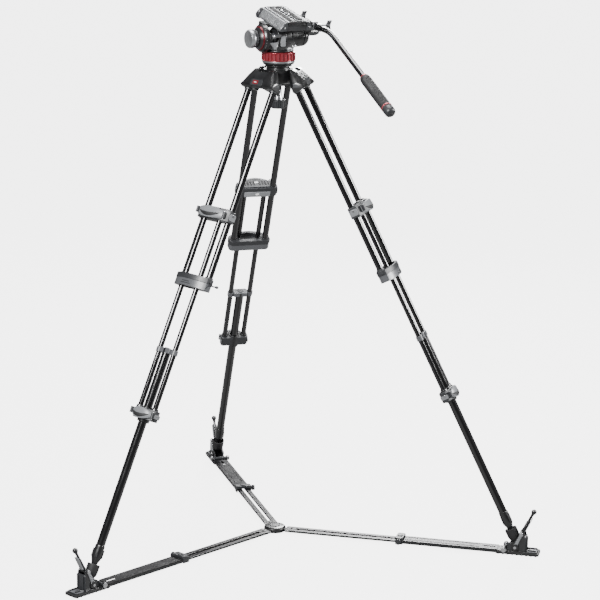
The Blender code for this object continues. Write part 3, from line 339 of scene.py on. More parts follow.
class Solid:
    """Closed solids gathered in one mesh, in the axes of the piece that they make up."""

    def __init__(self) -> None:
        """Starts with nothing."""
        self.mesh = bmesh.new()

    def loft(self, loops: Sequence[Sequence[Sequence[float]]], where: Matrix = STILL,
             closed: bool = False) -> "Solid":
        """Skins loops of equal length and caps the ends.

        Args:
            loops: rings of points.
            where: place and turn.
            closed: joins the last loop to the first, with no caps.
        Returns:
            This solid.
        """
        rings = [[self.mesh.verts.new(where @ Vector(p)) for p in loop] for loop in loops]
        count = len(rings[0])
        pairs = list(zip(rings, rings[1:])) + ([(rings[-1], rings[0])] if closed else [])
        made = []
        for low, high in pairs:
            for i in range(count):
                j = (i + 1) % count
                made.append(self.mesh.faces.new((low[i], low[j], high[j], high[i])))
        if not closed:
            made.append(self.mesh.faces.new(list(reversed(rings[0]))))
            made.append(self.mesh.faces.new(rings[-1]))
        bmesh.ops.recalc_face_normals(self.mesh, faces=made)
        return self

    def add(self, other: "Solid") -> "Solid":
        """Takes in another solid's surface.

        Args:
            other: the solid, which is used up.
        Returns:
            This solid.
        """
        copy = bpy.data.meshes.new("copied surface")
        other.mesh.to_mesh(copy)
        other.mesh.free()
        self.mesh.from_mesh(copy)
        bpy.data.meshes.remove(copy)
        return self

    def prism(self, outline: Iterable[Point2], low: float, high: float, where: Matrix = STILL) -> "Solid":
        """A flat outline raised from one height to another."""
        points = list(outline)
        return self.loft([[(x, y, low) for x, y in points], [(x, y, high) for x, y in points]], where)

    def hollow_prism(self, outer: Sequence[Point2], inner: Sequence[Point2], low: float, high: float,
                     where: Matrix = STILL) -> "Solid":
        """A prism with a hole; both outlines have the same number of points, in the same order.

        Args:
            outer: outline.
            inner: outline of the hole.
            low: first height.
            high: second height.
            where: place and turn.
        Returns:
            This solid.
        """
        loops = [[(x, y, z) for x, y in line] for line,
                 z in ((outer, low), (outer, high), (inner, high), (inner, low))]
        return self.loft(loops, where, closed=True)

    def turn(self, profile: Sequence[Point2], where: Matrix = STILL, sides: int = 48,
             ring: bool = False) -> "Solid":
        """A profile of (radius, z) turned about Z.

        Args:
            profile: from the axis to the axis, or round the section where it is a ring.
            where: place and turn.
            sides: round the axis.
            ring: the profile closes on itself.
        Returns:
            This solid.
        """
        tiny = 0.05
        loops = []
        for radius, z in profile:
            reach = max(radius, tiny)
            loops.append([(reach * math.cos(2 * math.pi * i / sides), reach * math.sin(2 * math.pi * i / sides), z)
                          for i in range(sides)])
        return self.loft(loops, where, closed=ring)

    def pipe(self, inner: float, outer: float, low: float, high: float, where: Matrix = STILL,
             sides: int = 48) -> "Solid":
        """A round tube with square ends."""
        return self.turn([(inner, low), (outer, low), (outer, high), (inner, high)], where, sides, ring=True)

    def drum(self, radius: float, low: float, high: float, where: Matrix = STILL, sides: int = 32,
             soft: float = 0.0) -> "Solid":
        """A disc or pin with edges eased by a chamfer.

        Args:
            radius: of the disc.
            low: first height.
            high: second height.
            where: place and turn.
            sides: round the axis.
            soft: the chamfer; a share of the size where none is given.
        Returns:
            This solid.
        """
        ease = min(soft, radius / 2, (high - low) / 2.5) or min(radius, high - low) * 0.12
        return self.turn([(radius - ease, low), (radius, low + ease), (radius, high - ease), (radius - ease, high)],
                         where, sides)

    def block(self, size: Point3, centre: Point3, where: Matrix = STILL, corner: float = 0.0) -> "Solid":
        """A bar with round upright corners where a corner radius is given.

        Args:
            size: along X, Y and Z.
            centre: its middle.
            where: place and turn.
            corner: radius of the corners.
        Returns:
            This solid.
        """
        (dx, dy, dz), (x, y, z) = size, centre
        return self.prism(rectangle(x - dx / 2, x + dx / 2, y - dy / 2, y + dy / 2, corner), z - dz / 2, z + dz / 2,
                          where)

    def sweep(self, route: Sequence[Vector], radius: float, sides: int = 24) -> "Solid":
        """A round bar along a route in the plane X = 0.

        Args:
            route: points of the centre line.
            radius: of the bar.
            sides: round the bar.
        Returns:
            This solid.
        """
        loops = []
        for i, point in enumerate(route):
            ahead = (route[min(i + 1, len(route) - 1)] - route[max(i - 1, 0)]).normalized()
            up = Vector((1.0, 0.0, 0.0)).cross(ahead)
            loops.append([point + Vector((1.0, 0.0, 0.0)) * radius * math.cos(2 * math.pi * k / sides)
                          + up * radius * math.sin(2 * math.pi * k / sides) for k in range(sides)])
        return self.loft(loops)

    def sphere(self, radius: float, centre: Point3, low: float = -QUARTER, high: float = QUARTER, sides: int = 24,
               squash: float = 1.0) -> "Solid":
        """A ball, or the part of it between two latitudes.

        Args:
            radius: of the ball.
            centre: of the ball.
            low: first latitude.
            high: last latitude.
            sides: round the axis.
            squash: height as a share of the radius.
        Returns:
            This solid.
        """
        steps = 10
        profile = [(radius * math.cos(low + (high - low) * i / steps),
                    squash * radius * math.sin(low + (high - low) * i / steps)) for i in range(steps + 1)]
        return self.turn(profile, Matrix.Translation(centre), sides)


@dataclass
class Workshop:
    """Puts finished pieces in place and keeps the list of them."""

    made: list[str] = field(default_factory=list)

    def fit(self, solid: Solid, name: str, where: Matrix, finish: Finish, body: str, bevel: float,
            stands_for: str = "") -> None:
        """Makes the piece, eases its edges, dresses it and hangs it on its body.

        Args:
            solid: what it is made of.
            name: the piece's name.
            where: its axes in the tripod's frame.
            finish: its finish.
            body: the body that it rides on.
            bevel: radius of the eased edges.
            stands_for: the CAD node that it is shown in place of, where their names differ.
        """
        mesh = bpy.data.meshes.new(name)
        solid.mesh.to_mesh(mesh)
        solid.mesh.free()
        mesh.transform(Matrix.Scale(MM, 4))
        mesh.shade_smooth()
        piece = bpy.data.objects.new(name, mesh)
        bpy.context.scene.collection.objects.link(piece)
        piece.matrix_world = Matrix.Translation(where.translation * MM) @ where.to_3x3().to_4x4()
        mesh.materials.append(finish.material())
        if bevel:
            ease = piece.modifiers.new("eased edges", "BEVEL")
            ease.width = bevel * MM
            ease.segments = 2
            ease.limit_method = "ANGLE"
            ease.angle_limit = math.radians(32)
            ease.harden_normals = True
        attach(piece, body)
        node = stands_for or name
        if node in frame["nodes"]:
            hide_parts(node)
        self.made.append(name)


def axes(origin: Sequence[float], along_x: Vector, along_z: Vector) -> Matrix:
    """A frame from its origin, its X axis and its Z axis.

    Args:
        origin: its origin.
        along_x: way of its X axis.
        along_z: way of its Z axis.
    Returns:
        The frame.
    """
    across, up = along_x.normalized(), along_z.normalized()
    turn = Matrix((across, up.cross(across), up)).transposed().to_4x4()
    return Matrix.Translation(Vector(origin)) @ turn


def span(node: str, where: Matrix) -> tuple[Vector, Vector]:
    """Lowest and highest corner of a CAD node in a frame's own axes.

    Args:
        node: the CAD node.
        where: the frame.
    Returns:
        Both corners, in millimetres.
    """
    back = where.inverted()
    points = [back @ (corner.co / MM) for corner in frame["nodes"][node].data.vertices]
    return (Vector(min(p[i] for p in points) for i in range(3)),
            Vector(max(p[i] for p in points) for i in range(3)))


def joint_place(name: str) -> Vector:
    """A hinge's place."""
    return Vector(JOINTS[name]["pos_m"]) / MM


def joint_axis(name: str) -> Vector:
    """A joint's axis."""
    return Vector(JOINTS[name]["axis"])


# ---------------------------------------------------------------- legs

@dataclass
class LegLooks:
    """One leg: shoulder, two stages of paired tubes, a single lower tube and the two clamps."""

    leg: Leg
    shop: Workshop
    front_plane: float = 16.5        # middle and lower tubes, in front of the upper ones
    lug_half: float = 20.6
    top_half: float = 42.0
    upper_x: float = 52.0              # of the upper and the middle tubes, to each side
    middle_x: float = 32.0
    lower_radius: float = 13.0
    tube_wall: float = 1.5
    foot_length: float = 90.0
    spike_length: float = 34.0
    lever_thickness: float = 7.8
    lever_height: float = 34.0
    collar_bow: Point3 = (66.2, 16.5, 38)
    clamp_bow: Point3 = (45.5, 20.5, 39)

    def __post_init__(self) -> None:
        """Finds the leg's axes: X across it, Y outward, Z up along it, from the hinge."""
        self.name = f"leg_{self.leg.value}"
        self.where = axes(joint_place(f"{self.name}_spread"), joint_axis(f"{self.name}_spread"),
                          joint_axis(f"{self.name}_middle_slide"))

    def build(self) -> None:
        """Builds every piece of the leg."""
        self.shoulder()
        for row, body in (("upper", ""), ("middle", "_mid")):
            for side in "ab":
                self.tube(f"{self.name}_{row}_tube_{side}", self.name + body)
        self.band()
        self.collar()
        self.clamp()
        self.lever(End.UPPER, self.collar_bow, 52.2, 0.42)
        self.lever(End.LOWER, self.clamp_bow, 40.5, 0.78)
        self.lower_stage()

    def fit(self, solid: Solid, name: str, finish: Finish, body: str = "", bevel: float = 0.6,
            stands_for: str = "") -> None:
        """Hangs a piece on one of the leg's bodies."""
        self.shop.fit(solid, f"{self.name}_{name}", self.where, finish, self.name + body, bevel,
                      stands_for and f"{self.name}_{stands_for}")

    def shoulder(self) -> None:
        """The casting over the hinge: two cheeks that fall away outward, and a wall between them."""
        low, high = span(f"{self.name}_shoulder", self.where)
        foot, rise = at(0, 0, low.z), high.z - low.z
        section = [(-12, 2), (-10, 0), (18, 0), (23.5, 4), (27, 11), (27, 18), (22.5, 34), (17, rise - 12),
                   (12, rise - 4.5), (7.5, rise - 1), (2, rise), (-1, rise - 2), (-6, 12 - low.z), (-12, 4 - low.z)]
        tops = ((self.lug_half, rise), (34, rise), (self.top_half, rise - 1), (49, rise - 11), (56, 8 - low.z),
                (61.5, -3 - low.z), (64.8, -10 - low.z), (high.x, -14 - low.z))
        cheeks = Solid()
        for side in (-1, 1):
            loops = []
            for x, top in tops:
                share, pull = top / rise, 2.2 if x == high.x else 0
                loops.append([(side * x, y - math.copysign(pull, y), pull + (z - pull) * share) for y,
                              z in section])
            cheeks.loft(loops, foot)
        self.fit(cheeks, "shoulder_cheeks", CASTING, bevel=1.2, stands_for="shoulder")
        wall = [(13.5, 0), (18, 0), (23.5, 4), (27, 11), (27, 18), (22.5, 34), (17.2, 16.5 - low.z),
                (13.5, 16 - low.z)]
        front = Solid().prism(wall, -self.lug_half - 4, self.lug_half + 4, foot @ FROM_YZ)
        self.fit(front, "shoulder_wall", CASTING, bevel=1.2)
        trim, bolts = Solid(), Solid()
        for side, axis in SIDES:
            trim.turn([(10.4, -4.5), (12.4, -4.5), (13.2, 3), (10.4, 3)], at(side * self.upper_x, 0, low.z), 40,
                      ring=True)
            bolts.drum(6.2, 0, 4.2, at(side * 54.5, 2, -10, axis), 6)
            bolts.drum(7.8, -1, 1.2, at(side * 54.5, 2, -10, axis), 32)
        self.fit(trim, "shoulder_sleeves", NYLON)
        self.fit(bolts, "hinge_bolts", STEEL, bevel=0.3)
        panel = foot @ at(0, 26.4, 14.5, "Y")
        self.fit(Solid().prism(rectangle(-24, 24, -10, 10, 4), 0, 1.6, panel), "shoulder_panel", NYLON, bevel=0.5)
        if self.leg is Leg.LEFT:
            badge = Solid().prism(rectangle(-11, 11, -6, 6, 2), 1.6, 2.5, panel @ at(4))
            self.fit(badge, "badge", RED, bevel=0.2)
            self.fit(Solid().prism(stadium(10, 2.8), 2.4, 2.9, panel @ at(4)), "badge_bar", ACETAL, bevel=0)

    def tube(self, node: str, body: str) -> None:
        """A hollow drawn tube, just as long as its CAD solid.

        Args:
            node: the CAD node.
            body: the body it rides on.
        """
        low, high = span(node, self.where)
        radius = (high.x - low.x) / 2
        solid = Solid().pipe(radius - self.tube_wall, radius, low.z, high.z)
        self.shop.fit(solid, node, self.where @ at(low.x + radius, (high.y + low.y) / 2), TUBE, body, 0.3)

    def band(self) -> None:
        """The band at the foot of the upper tubes: a grey body under a black rim, open where the tubes slide."""
        low, high = span(f"{self.name}_band", self.where)
        outer = saddle(high.x, self.front_plane, high.y, low.y, 8)
        wide = saddle(high.x + 1.2, self.front_plane, high.y + 1.2, low.y - 1, 8)
        inner = [(max(-31.8, min(31.8, x * 0.52)), max(-0.4, min(31.5, y * 0.62 + 6))) for x, y in outer]
        step = low.z + 0.6 * (high.z - low.z)
        self.fit(Solid().hollow_prism(outer, inner, low.z, step), "band", MID_NYLON, bevel=1.2)
        self.fit(Solid().hollow_prism(wide, inner, step - 0.8, high.z), "band_rim", NYLON, bevel=1.2)
        sleeves = Solid()
        for side, axis in SIDES:
            sleeves.turn([(10.4, -2), (12.8, -2), (12.2, 5), (10.4, 5)], at(side * self.upper_x, 0, high.z), 40,
                         ring=True)
            sleeves.drum(3.6, 0, 5, at(side * (high.x - 1), 4, step + 6, axis))
        self.fit(sleeves, "band_sleeves", NYLON, bevel=0.4)
        radius, _ = bow_circle(high.x, self.front_plane, high.y)
        # Painted shade: two dark, slightly raised strips across the front of the band.
        painted_shade_strips = Solid()
        for row in range(2):
            z, reach = low.z + 7 + 6 * row, 0.20 - 0.06 * row
            painted_shade_strips.add(self.bowed(radius - 0.4, 1.6, high.y - radius, QUARTER - reach, QUARTER + reach,
                                  lambda share, z=z: (z, z + 2.2)))
        self.fit(painted_shade_strips, "band_painted_shade_strips", NYLON, bevel=0)
        if self.leg is Leg.LEFT:
            stub = at(-high.x, 6, step - 4, "-X")
            pin = Solid().drum(2.1, -4, 30, stub, 24)
            pin.turn([(0, 28), (3.2, 29), (4.4, 33), (3.8, 38), (0, 39.5)], stub, 24)
            self.fit(pin, "band_pin", NYLON, bevel=0)

    def collar(self) -> None:
        """The upper clamp: a saddle casting with a ribbed deck, pale buttons and grey end faces."""
        low, high = span(f"{self.name}_collar", self.where)
        side, front, middle = self.front_plane, high.y, (low.z + high.z) / 2
        self.fit(Solid().prism(saddle(high.x, side, front, low.y, 8), low.z, high.z), "collar", NYLON, "_mid", 1.8)
        deck, ribs, faces, screws = Solid(), Solid(), Solid(), Solid()
        outline = saddle(high.x - 6, side - 2, front - 7, low.y + 4, 7)
        deck.prism(outline, high.z - 1, high.z + 3.2).prism(outline, low.z - 2.2, low.z + 1)
        self.fit(deck, "collar_decks", NYLON, "_mid", 1.2)
        for i in (*range(-5, 0), *range(1, 6)):
            ribs.block((3.2, 22 - 1.2 * abs(i), 2.4), (i * 9.5, 10, high.z + 4), STILL, 1.2)
        self.fit(ribs, "collar_ribs", RUBBER, "_mid", 0.4)
        buttons = Solid().prism(stadium(14, 7.5), high.z + 2.8, high.z + 6.2, at(0, 12))
        buttons.prism(stadium(12, 6.5), 0, 3, at(0, low.y + 0.6, middle - 6, "-Y"))
        self.fit(buttons, "collar_buttons", ACETAL, "_mid", 0.8)
        for way, axis in SIDES:
            faces.prism(rectangle(-10.5, 10.5, -12.5, 12.5, 4), 0, 1.8, at(way * (high.x - 0.6), 3.5, middle, axis))
            screws.drum(3.4, 0, 1.6, at(way * (high.x + 0.8), 3.5, middle + 5, axis), 24)
        faces.block((84, 1.6, 18), (0, low.y - 0.2, middle - 6))
        self.fit(faces, "collar_faces", LIGHT_NYLON, "_mid", 0.8)
        self.fit(screws, "collar_screws", STEEL, "_mid", 0.3)

    def clamp(self) -> None:
        """The lower clamp: a narrow saddle round the single tube, with a bored barrel and side screws."""
        low, high = span(f"{self.name}_clamp", self.where)
        half, side, front = self.clamp_bow
        body = Solid().prism(saddle(half, side, front - 1, low.y, 6), low.z + 4, high.z - 3)
        self.fit(body, "clamp", NYLON, "_mid", 1.8)
        tall = high.z - low.z
        barrel = Solid().turn([(13.4, -4), (18.2, -4), (19.2, 6), (19.2, tall - 4), (17.5, tall + 1),
                               (13.4, tall + 1)], at(0, self.front_plane, low.z), 48, ring=True)
        faces, screws = Solid(), Solid()
        for way, axis in SIDES:
            barrel.turn([(8.3, -4), (11.2, -4), (10.4, 3), (8.3, 3)],
                        at(way * self.middle_x, self.front_plane, high.z), 40, ring=True)
            face = at(way * half, 13, (low.z + high.z) / 2, axis)
            faces.prism(rectangle(-6.5, 6.5, -13, 13, 3), -0.6, 1.2, face)
            screws.drum(3, 0.6, 2.4, at(0, 0, 4) @ face, 24)
        self.fit(barrel, "clamp_barrel", CASTING, "_mid", 0.8)
        self.fit(faces, "clamp_faces", LIGHT_NYLON, "_mid", 0.8)
        self.fit(screws, "clamp_screws", STEEL, "_mid", 0.3)

    def bowed(self, radius: float, thickness: float, middle: float, start: float, end: float,
              height: Callable[[float], Point2], steps: int = 28) -> Solid:
        """A plate bent round a casting's bow, whose height changes along it.

        Args:
            radius: of its inner face.
            thickness: of the plate.
            middle: place of the bow's centre along Y.
            start: first angle.
            end: last angle.
            height: lowest and highest edge, for a share from 0 to 1 of the way along.
            steps: stations along the bow.
        Returns:
            The plate.
        """
        loops = []
        for i in range(steps + 1):
            share = i / steps
            angle = start + (end - start) * share
            low, high = height(share)
            crown = thickness * (0.72 + 0.28 * math.sin(math.pi * share))
            rows = ((radius, low), (radius + crown * 0.72, low), (radius + crown, low + (high - low) * 0.22),
                    (radius + crown, low + (high - low) * 0.78), (radius + crown * 0.72, high), (radius, high))
            loops.append([(r * math.cos(angle), middle + r * math.sin(angle), z) for r, z in rows])
        return Solid().loft(loops)

    def lever(self, end: End, bow: Point3, half_width: float, taper: float) -> None:
        """A flip lever: a pale lens on the casting's front with a dark crescent of painted shade, a knuckle and a
        thumb pad.

        Args:
            end: which of the two.
            bow: the casting's bow.
            half_width: the lever's reach to each side.
            taper: share of its height that it loses towards the ends.
        """
        name, body = f"{end.value}_lever", f"_{end.value}_clamp_lever"
        radius, _ = bow_circle(*bow)
        inner = radius + 0.6
        reach = math.asin(half_width / inner)
        middle = bow[2] - radius
        low, high = span(f"{self.name}_{name}", self.where)
        centre = (low.z + high.z) / 2
        half = self.lever_height / 2

        def lens(share: float) -> Point2:
            """Edges of the lens at a share of the way along."""
            full = half * (1 - taper * (2 * share - 1) ** 2)
            return centre - full, centre + full

        def painted_shade_crescent(share: float) -> Point2:
            """Edges of the painted shade crescent at a share of the way along."""
            bend = half * 0.62 * (1 - 0.9 * (2 * share - 1) ** 2)
            return centre + half * 0.30 - bend * 1.75, centre + half * 0.24 - bend * 0.55

        plate = self.bowed(inner, self.lever_thickness, middle, QUARTER - reach, QUARTER + reach, lens)
        self.fit(plate, name, LIGHT_NYLON, body, bevel=0.5)
        # Painted shade: a dark rubber crescent on the lever's face stands for the shade across its curved front.
        painted_shade_inlay = self.bowed(inner + self.lever_thickness * 0.55, self.lever_thickness * 0.60, middle,
                           QUARTER - reach * 0.80, QUARTER + reach * 0.80, painted_shade_crescent)
        self.fit(painted_shade_inlay, f"{name}_crescent", RUBBER, body, bevel=0.4)
        mid_radius = inner + self.lever_thickness * 0.45
        hinge = joint_place(f"{self.name}_{name}_hinge")
        pivot = self.where.inverted() @ hinge
        knuckle = Solid().drum(5.2, centre - half * 0.55, centre + half * 0.55, at(pivot.x, pivot.y), 24)
        right = QUARTER - reach
        free = (mid_radius * math.cos(right), middle + mid_radius * math.sin(right))
        pad = at(free[0] - 2, free[1] + 2, centre, spin=math.degrees(right))
        knuckle.block((13, 10, half * 1.1), (3, 2, half * 0.12), pad, 3)
        self.fit(knuckle, f"{name}_ends", NYLON, body, bevel=1.0)
        pin = Solid().drum(2.2, centre - half * 0.66, centre + half * 0.66, at(pivot.x, pivot.y), 16)
        self.fit(pin, f"{name}_pin", STEEL, body, bevel=0.2)

    def lower_stage(self) -> None:
        """The single tube with the guide that runs on the middle tubes, the foot casting and its spike."""
        low, high = span(f"{self.name}_lower_tube", self.where)
        line = at(0, self.front_plane, low.z)
        top, foot, spike = high.z - low.z, self.foot_length, self.spike_length
        tube = Solid().pipe(self.lower_radius - self.tube_wall, self.lower_radius, foot - 20, top - 2, line)
        self.fit(tube, "lower_tube", TUBE, "_low", 0.3)
        block = [(-20.5, -12.5), (20.5, -12.5), (23.5, -7.5), (23.5, 7.5), (20.5, 12.5), (-20.5, 12.5),
                 (-23.5, 7.5), (-23.5, -7.5)]
        guide = Solid().prism(block, top - 15.5, top, line)
        cap = Solid().drum(9.5, top - 1, top + 2.2, line, 32, 1)
        for way in (-1, 1):
            guide.pipe(8.4, 10.4, top - 16, top - 1, line @ at(way * self.middle_x), 40)
            cap.block((4, 24.5, 6), (way * 15, 0, top - 8), line)
        self.fit(guide, "guide", MID_NYLON, "_low", 0.8)
        self.fit(cap, "guide_cap", NYLON, "_low", 0.4)
        boot = Solid().turn([(0, foot), (14.1, foot), (14.8, foot - 4), (14.4, foot - 10), (15.2, foot - 16),
                             (15.2, 53), (14.6, 50), (12.2, 44), (10, 38), (9.6, spike), (0, spike)], line, 48)
        for k in range(4):
            boot.block((3, 4.8, 26), (0, 15, 66), line @ at(spin=45 + 90 * k), 1)
        self.fit(boot, "foot", CASTING, "_low", 0.8)
        pin = Solid().turn([(0, 36), (8.6, 36), (8.6, 27), (6.6, 20), (6.4, 10), (1.3, 0), (0, 0)], line, 32)
        self.fit(pin, "spike", STEEL, "_low", 0.2)


# ---------------------------------------------------------------- spreader

@dataclass
class ArmLooks:
    """One arm of the spreader: rails on the hub, the channel over them, its lock, and the foot at its tip."""

    leg: Leg
    shop: Workshop
    rail_width: float = 15.0
    rail_x: float = 13.0
    width: float = 46.0
    top: float = 14.0                  # of the channel
    wall: float = 2.2
    deck_end: float = -50.0
    clip_y: float = 22.0               # of the clip's hinge, from the tip
    knee: Point2 = (4.0, 23.5)         # where the braces are pinned, along Y and Z
    cross: Point2 = (-30.0, 16.5)      # the cross pin

    def __post_init__(self) -> None:
        """Finds the arm's axes, Y outward and Z up: the spoke's start at the hub, the tip's at the cup."""
        self.name, self.body = f"spreader_{self.leg.value}", f"arm_{self.leg.value}"
        self.spoke = axes((0, 0, 0), joint_axis(f"{self.body}_slide").cross(UP), UP)
        hinge = self.spoke.inverted() @ joint_place(f"{self.body}_clip_hinge")
        self.tip = self.spoke @ at(0, hinge.y - self.clip_y)

    def build(self) -> None:
        """Builds every piece of the arm."""
        self.rails()
        self.channel()
        self.lock()
        self.bracket()
        self.cup()
        self.heel()
        self.knob()
        self.clip()

    def fit(self, solid: Solid, name: str, finish: Finish, bevel: float) -> None:
        """Hangs a piece of the channel or the foot, drawn in the tip's axes."""
        self.shop.fit(solid, f"{self.name}_{name}", self.tip, finish, self.body, bevel)

    def rails(self) -> None:
        """Two rails and the blocks that join them at both ends."""
        low, high = span(f"{self.name}_inner_arm", self.spoke)
        rails, half = Solid(), self.rail_width / 2
        for side in (-1, 1):
            x = side * self.rail_x
            rails.prism(rectangle(x - half, x + half, low.y, high.y, 6), low.z, high.z)
        for length, y in ((12, low.y + 26), (14, high.y - 9)):
            rails.block((16, length, high.z - low.z - 1), (0, y, (low.z + high.z) / 2))
        self.shop.fit(rails, f"{self.name}_inner_arm", self.spoke, BAR_STOCK, "hub", 0.7)

    def channel(self) -> None:
        """The channel over the rails, with a slot and two ridges along its top."""
        near = span(f"{self.name}_outer_arm", self.tip)[0].y + 4
        half, middle = self.width / 2, (near + self.deck_end) / 2
        outer = rectangle(-half, half, near, self.deck_end, 4)
        slot = [(x * 4 / half, -78 + math.copysign(18, y - middle)) for x, y in outer]
        deck = Solid().hollow_prism(outer, slot, self.top - self.wall, self.top)
        for side in (-1, 1):
            deck.block((self.wall, self.deck_end - near - 6, 10.8), (side * (half - self.wall / 2), middle, 8.4))
            deck.block((1.6, self.deck_end - near - 60, 1.2), (side * 12.5, middle - 30, self.top + 0.4))
        self.fit(deck, "outer_arm", BAR_STOCK, 0.5)

    def lock(self) -> None:
        """The lock round the channel's inner end: a lid, two cheeks and a button."""
        near = span(f"{self.name}_outer_arm", self.tip)[0].y + 4
        width, length = 51, 24
        middle = near + length / 2 - 4
        lock = Solid().block((width, length, 9), (0, middle, 17.5), STILL, 4)
        for side in (-1, 1):
            lock.block((3.5, length, 17), (side * (width / 2 - 1.8), middle, 9.5), STILL, 1)
        lock.drum(8.5, 18, 24.5, at(0, middle), 32)
        self.fit(lock, "lock", NYLON, 1)

    def bracket(self) -> None:
        """The floor pad, the cheeks with their braces, and the toe plate."""
        end = span(f"{self.name}_outer_arm", self.tip)[1].y
        pad = Solid().prism(rectangle(-27, 27, end - 135, end, 8), 2, 9.5)
        for row in range(9):
            pad.block((50, 6, 2.6), (0, end - 125 + 14.5 * row, 1.3), STILL, 2)
        self.fit(pad, "pad", RUBBER, 0.7)
        plate, braces = Solid().prism(rectangle(-23, 23, -52, end - 6, 6), 9, 12.5), Solid()
        for x in (-13, 13):
            plate.block((4, 34, 6), (x, end - 26, 14.5), STILL, 1.5)
        cheek = [(-24, 10), (34, 10), (34, 30), (33.5, 66), (30, 71.5), (26, 73.5), (19, 73.5), (15, 69), (11, 55),
                 (-1, 40), (-13, 34), (-20, 26)]
        brace = [(-0.5, 26), (8, 22.5), (26.2, 65), (17.8, 68)]
        for side, axis in SIDES:
            plate.prism(cheek, side * 15 - 2, side * 15 + 2, FROM_YZ)
            face = side * 17.2
            plate.drum(11.8, -1, 3.6, at(face, *self.knee, axis), 40, 1)
            braces.prism(brace, min(face, face + side * 2.6), max(face, face + side * 2.6), FROM_YZ)
            for i in range(5):
                braces.block((1.2, 10, 2.2), (face + side * 2.8, 8.2 + 3.1 * i, 37.5 + 6.2 * i))
        self.fit(plate, "bracket", CASTING, 0.6)
        self.fit(braces, "braces", LIGHT_NYLON, 0.4)
        self.fit(Solid().prism(rectangle(-21, 21, 41, end - 7, 4), 12, 13.8), "toe_plate", MID_NYLON, 0.5)

    def cup(self) -> None:
        """The cup that holds the spike, in line with the leg."""
        leg = f"leg_{self.leg.value}"
        across, along = joint_axis(f"{leg}_spread"), joint_axis(f"{leg}_middle_slide")
        line = axes(joint_place(f"{leg}_spread"), across, along)
        spike = line @ Vector((0, LegLooks.front_plane, span(f"{leg}_lower_tube", line)[0].z))
        lean = self.tip.inverted() @ axes(spike, across, along)
        cup = Solid().turn([(7.5, -1), (11.5, -8), (17, 0), (18.8, 10), (19, 32), (17.8, 33), (8.8, 4)], lean, 40,
                           ring=True)
        self.fit(cup.drum(8.5, -10, -1, lean, 32), "cup", RUBBER, 0.4)

    def heel(self) -> None:
        """The heel plate behind the cup, and the cross pin with the bright ends of all the pins."""
        heel = Solid().prism(rectangle(-19, 19, 10, 60, 5), 32.5, 36.5, FROM_XZ)
        for x in (-12, 12):
            heel.block((2.5, 4, 40), (x, 38, 34))
        self.fit(heel, "heel", NYLON, 0.8)
        self.fit(Solid().drum(5, -26, 26, at(0, *self.cross, "X"), 24), "cross_pin", NYLON, 0.2)
        ends = Solid()
        for side in (-1, 1):
            ends.drum(8.5, min(0, side * 10), max(0, side * 10), at(side * 23.5, *self.cross, "X"), 32, 1.5)
            ends.drum(5.2, -2.5, 2, at(side * 21, *self.knee, "X"), 6, 0.5)
            ends.drum(6.2, -2.5, 2.5, at(side * 18.5, self.clip_y, 66, "X"), 32, 0.6)
        self.fit(ends, "pin_ends", STEEL, 0.4)

    def knob(self) -> None:
        """The knurled knob on the side of the lock."""
        joint = f"{self.body}_lock_turn"
        turn = axes(joint_place(joint), UP, joint_axis(joint))
        knob = Solid().drum(4.5, 0, 5, turn, 20).prism(gear(9, 1.2, 14), 4, 12.5, turn)
        self.shop.fit(knob, f"{self.name}_lock_knob", STILL, NYLON, f"{self.body}_lock", 0.5)

    def clip(self) -> None:
        """The lever with a ball end that clips the foot down, and its pale tab, whose light grey is a painted
        highlight.
        """
        hinge, reach = joint_place(f"{self.body}_clip_hinge"), 8.5
        ball = span(f"{self.name}_foot_lever", self.spoke)[1] - Vector((0, reach, reach))
        pivot = self.spoke.inverted() @ hinge
        along = self.spoke.to_3x3() @ Vector((0, ball.y - pivot.y, ball.z - pivot.z))
        where = axes(hinge, joint_axis(f"{self.body}_clip_hinge"), along)
        profile: list[Point2] = [(0, 0), (6.2, 0), (6, 18)]
        for z in (19 + 4 * i for i in range(6)):
            profile += [(5, z), (5.8, z + 0.8), (5.8, z + 2.8), (5, z + 3.6)]
        lever = Solid().drum(7, -12.5, 12.5, at(axis="X"), 32)
        lever.turn(profile + [(4.2, 46), (4.2, 64), (5.2, 72), (0, 73)], STILL, 24).sphere(reach, (0, 0, 79))
        # Painted highlight: the tab beside the lever is light grey to stand for a bright highlight on the foot.
        painted_highlight_tab = Solid().prism(rectangle(-8.5, 8.5, 10, 58, 4), 4.8, 7.2, FROM_XZ)
        for solid, name, finish, bevel in ((lever, "foot_lever", CASTING, 0.4),
                                           (painted_highlight_tab, "foot_lever_painted_highlight_tab", LIGHT_NYLON, 0.5)):
            self.shop.fit(solid, f"{self.name}_{name}", where, finish, f"{self.body}_clip", bevel)


@dataclass
class SpreaderLooks:
    """The ground spreader: a hub and three arms."""

    shop: Workshop

    def build(self) -> None:
        """Builds the hub and the three arms."""
        arms = [ArmLooks(leg, self.shop) for leg in Leg]
        self.hub([arm.spoke for arm in arms])
        for arm in arms:
            arm.build()

    def hub(self, spokes: Sequence[Matrix]) -> None:
        """The cast hub with its cover and one lug between each pair of rails.

        Args:
            spokes: the arms' axes.
        """
        low, high = span("spreader_hub", STILL)
        hub = Solid().turn([(0, low.z), (31, low.z), (34.5, low.z + 3), (34.5, high.z - 6), (30, high.z - 1),
                            (22, high.z), (0, high.z)], STILL, 64)
        pins = Solid()
        for spoke in spokes:
            hub.block((10, 30, 7.5), (0, 37, 7.8), spoke)
            for y in (41.5, 47.5):
                pins.drum(2.6, -21, 21, spoke @ at(0, y, 7.8, "X"), 16)
        cover = Solid().turn([(0, high.z - 1), (17, high.z - 1), (16, high.z + 1.8), (0, high.z + 2.4)], STILL, 48)
        for solid, name, finish, bevel in ((hub, "", CASTING, 1), (cover, "_cover", NYLON, 0.4),
                                           (pins, "_pins", STEEL, 0.2)):
            self.shop.fit(solid, f"spreader_hub{name}", STILL, finish, "hub", bevel)


# ---------------------------------------------------------------- bowl

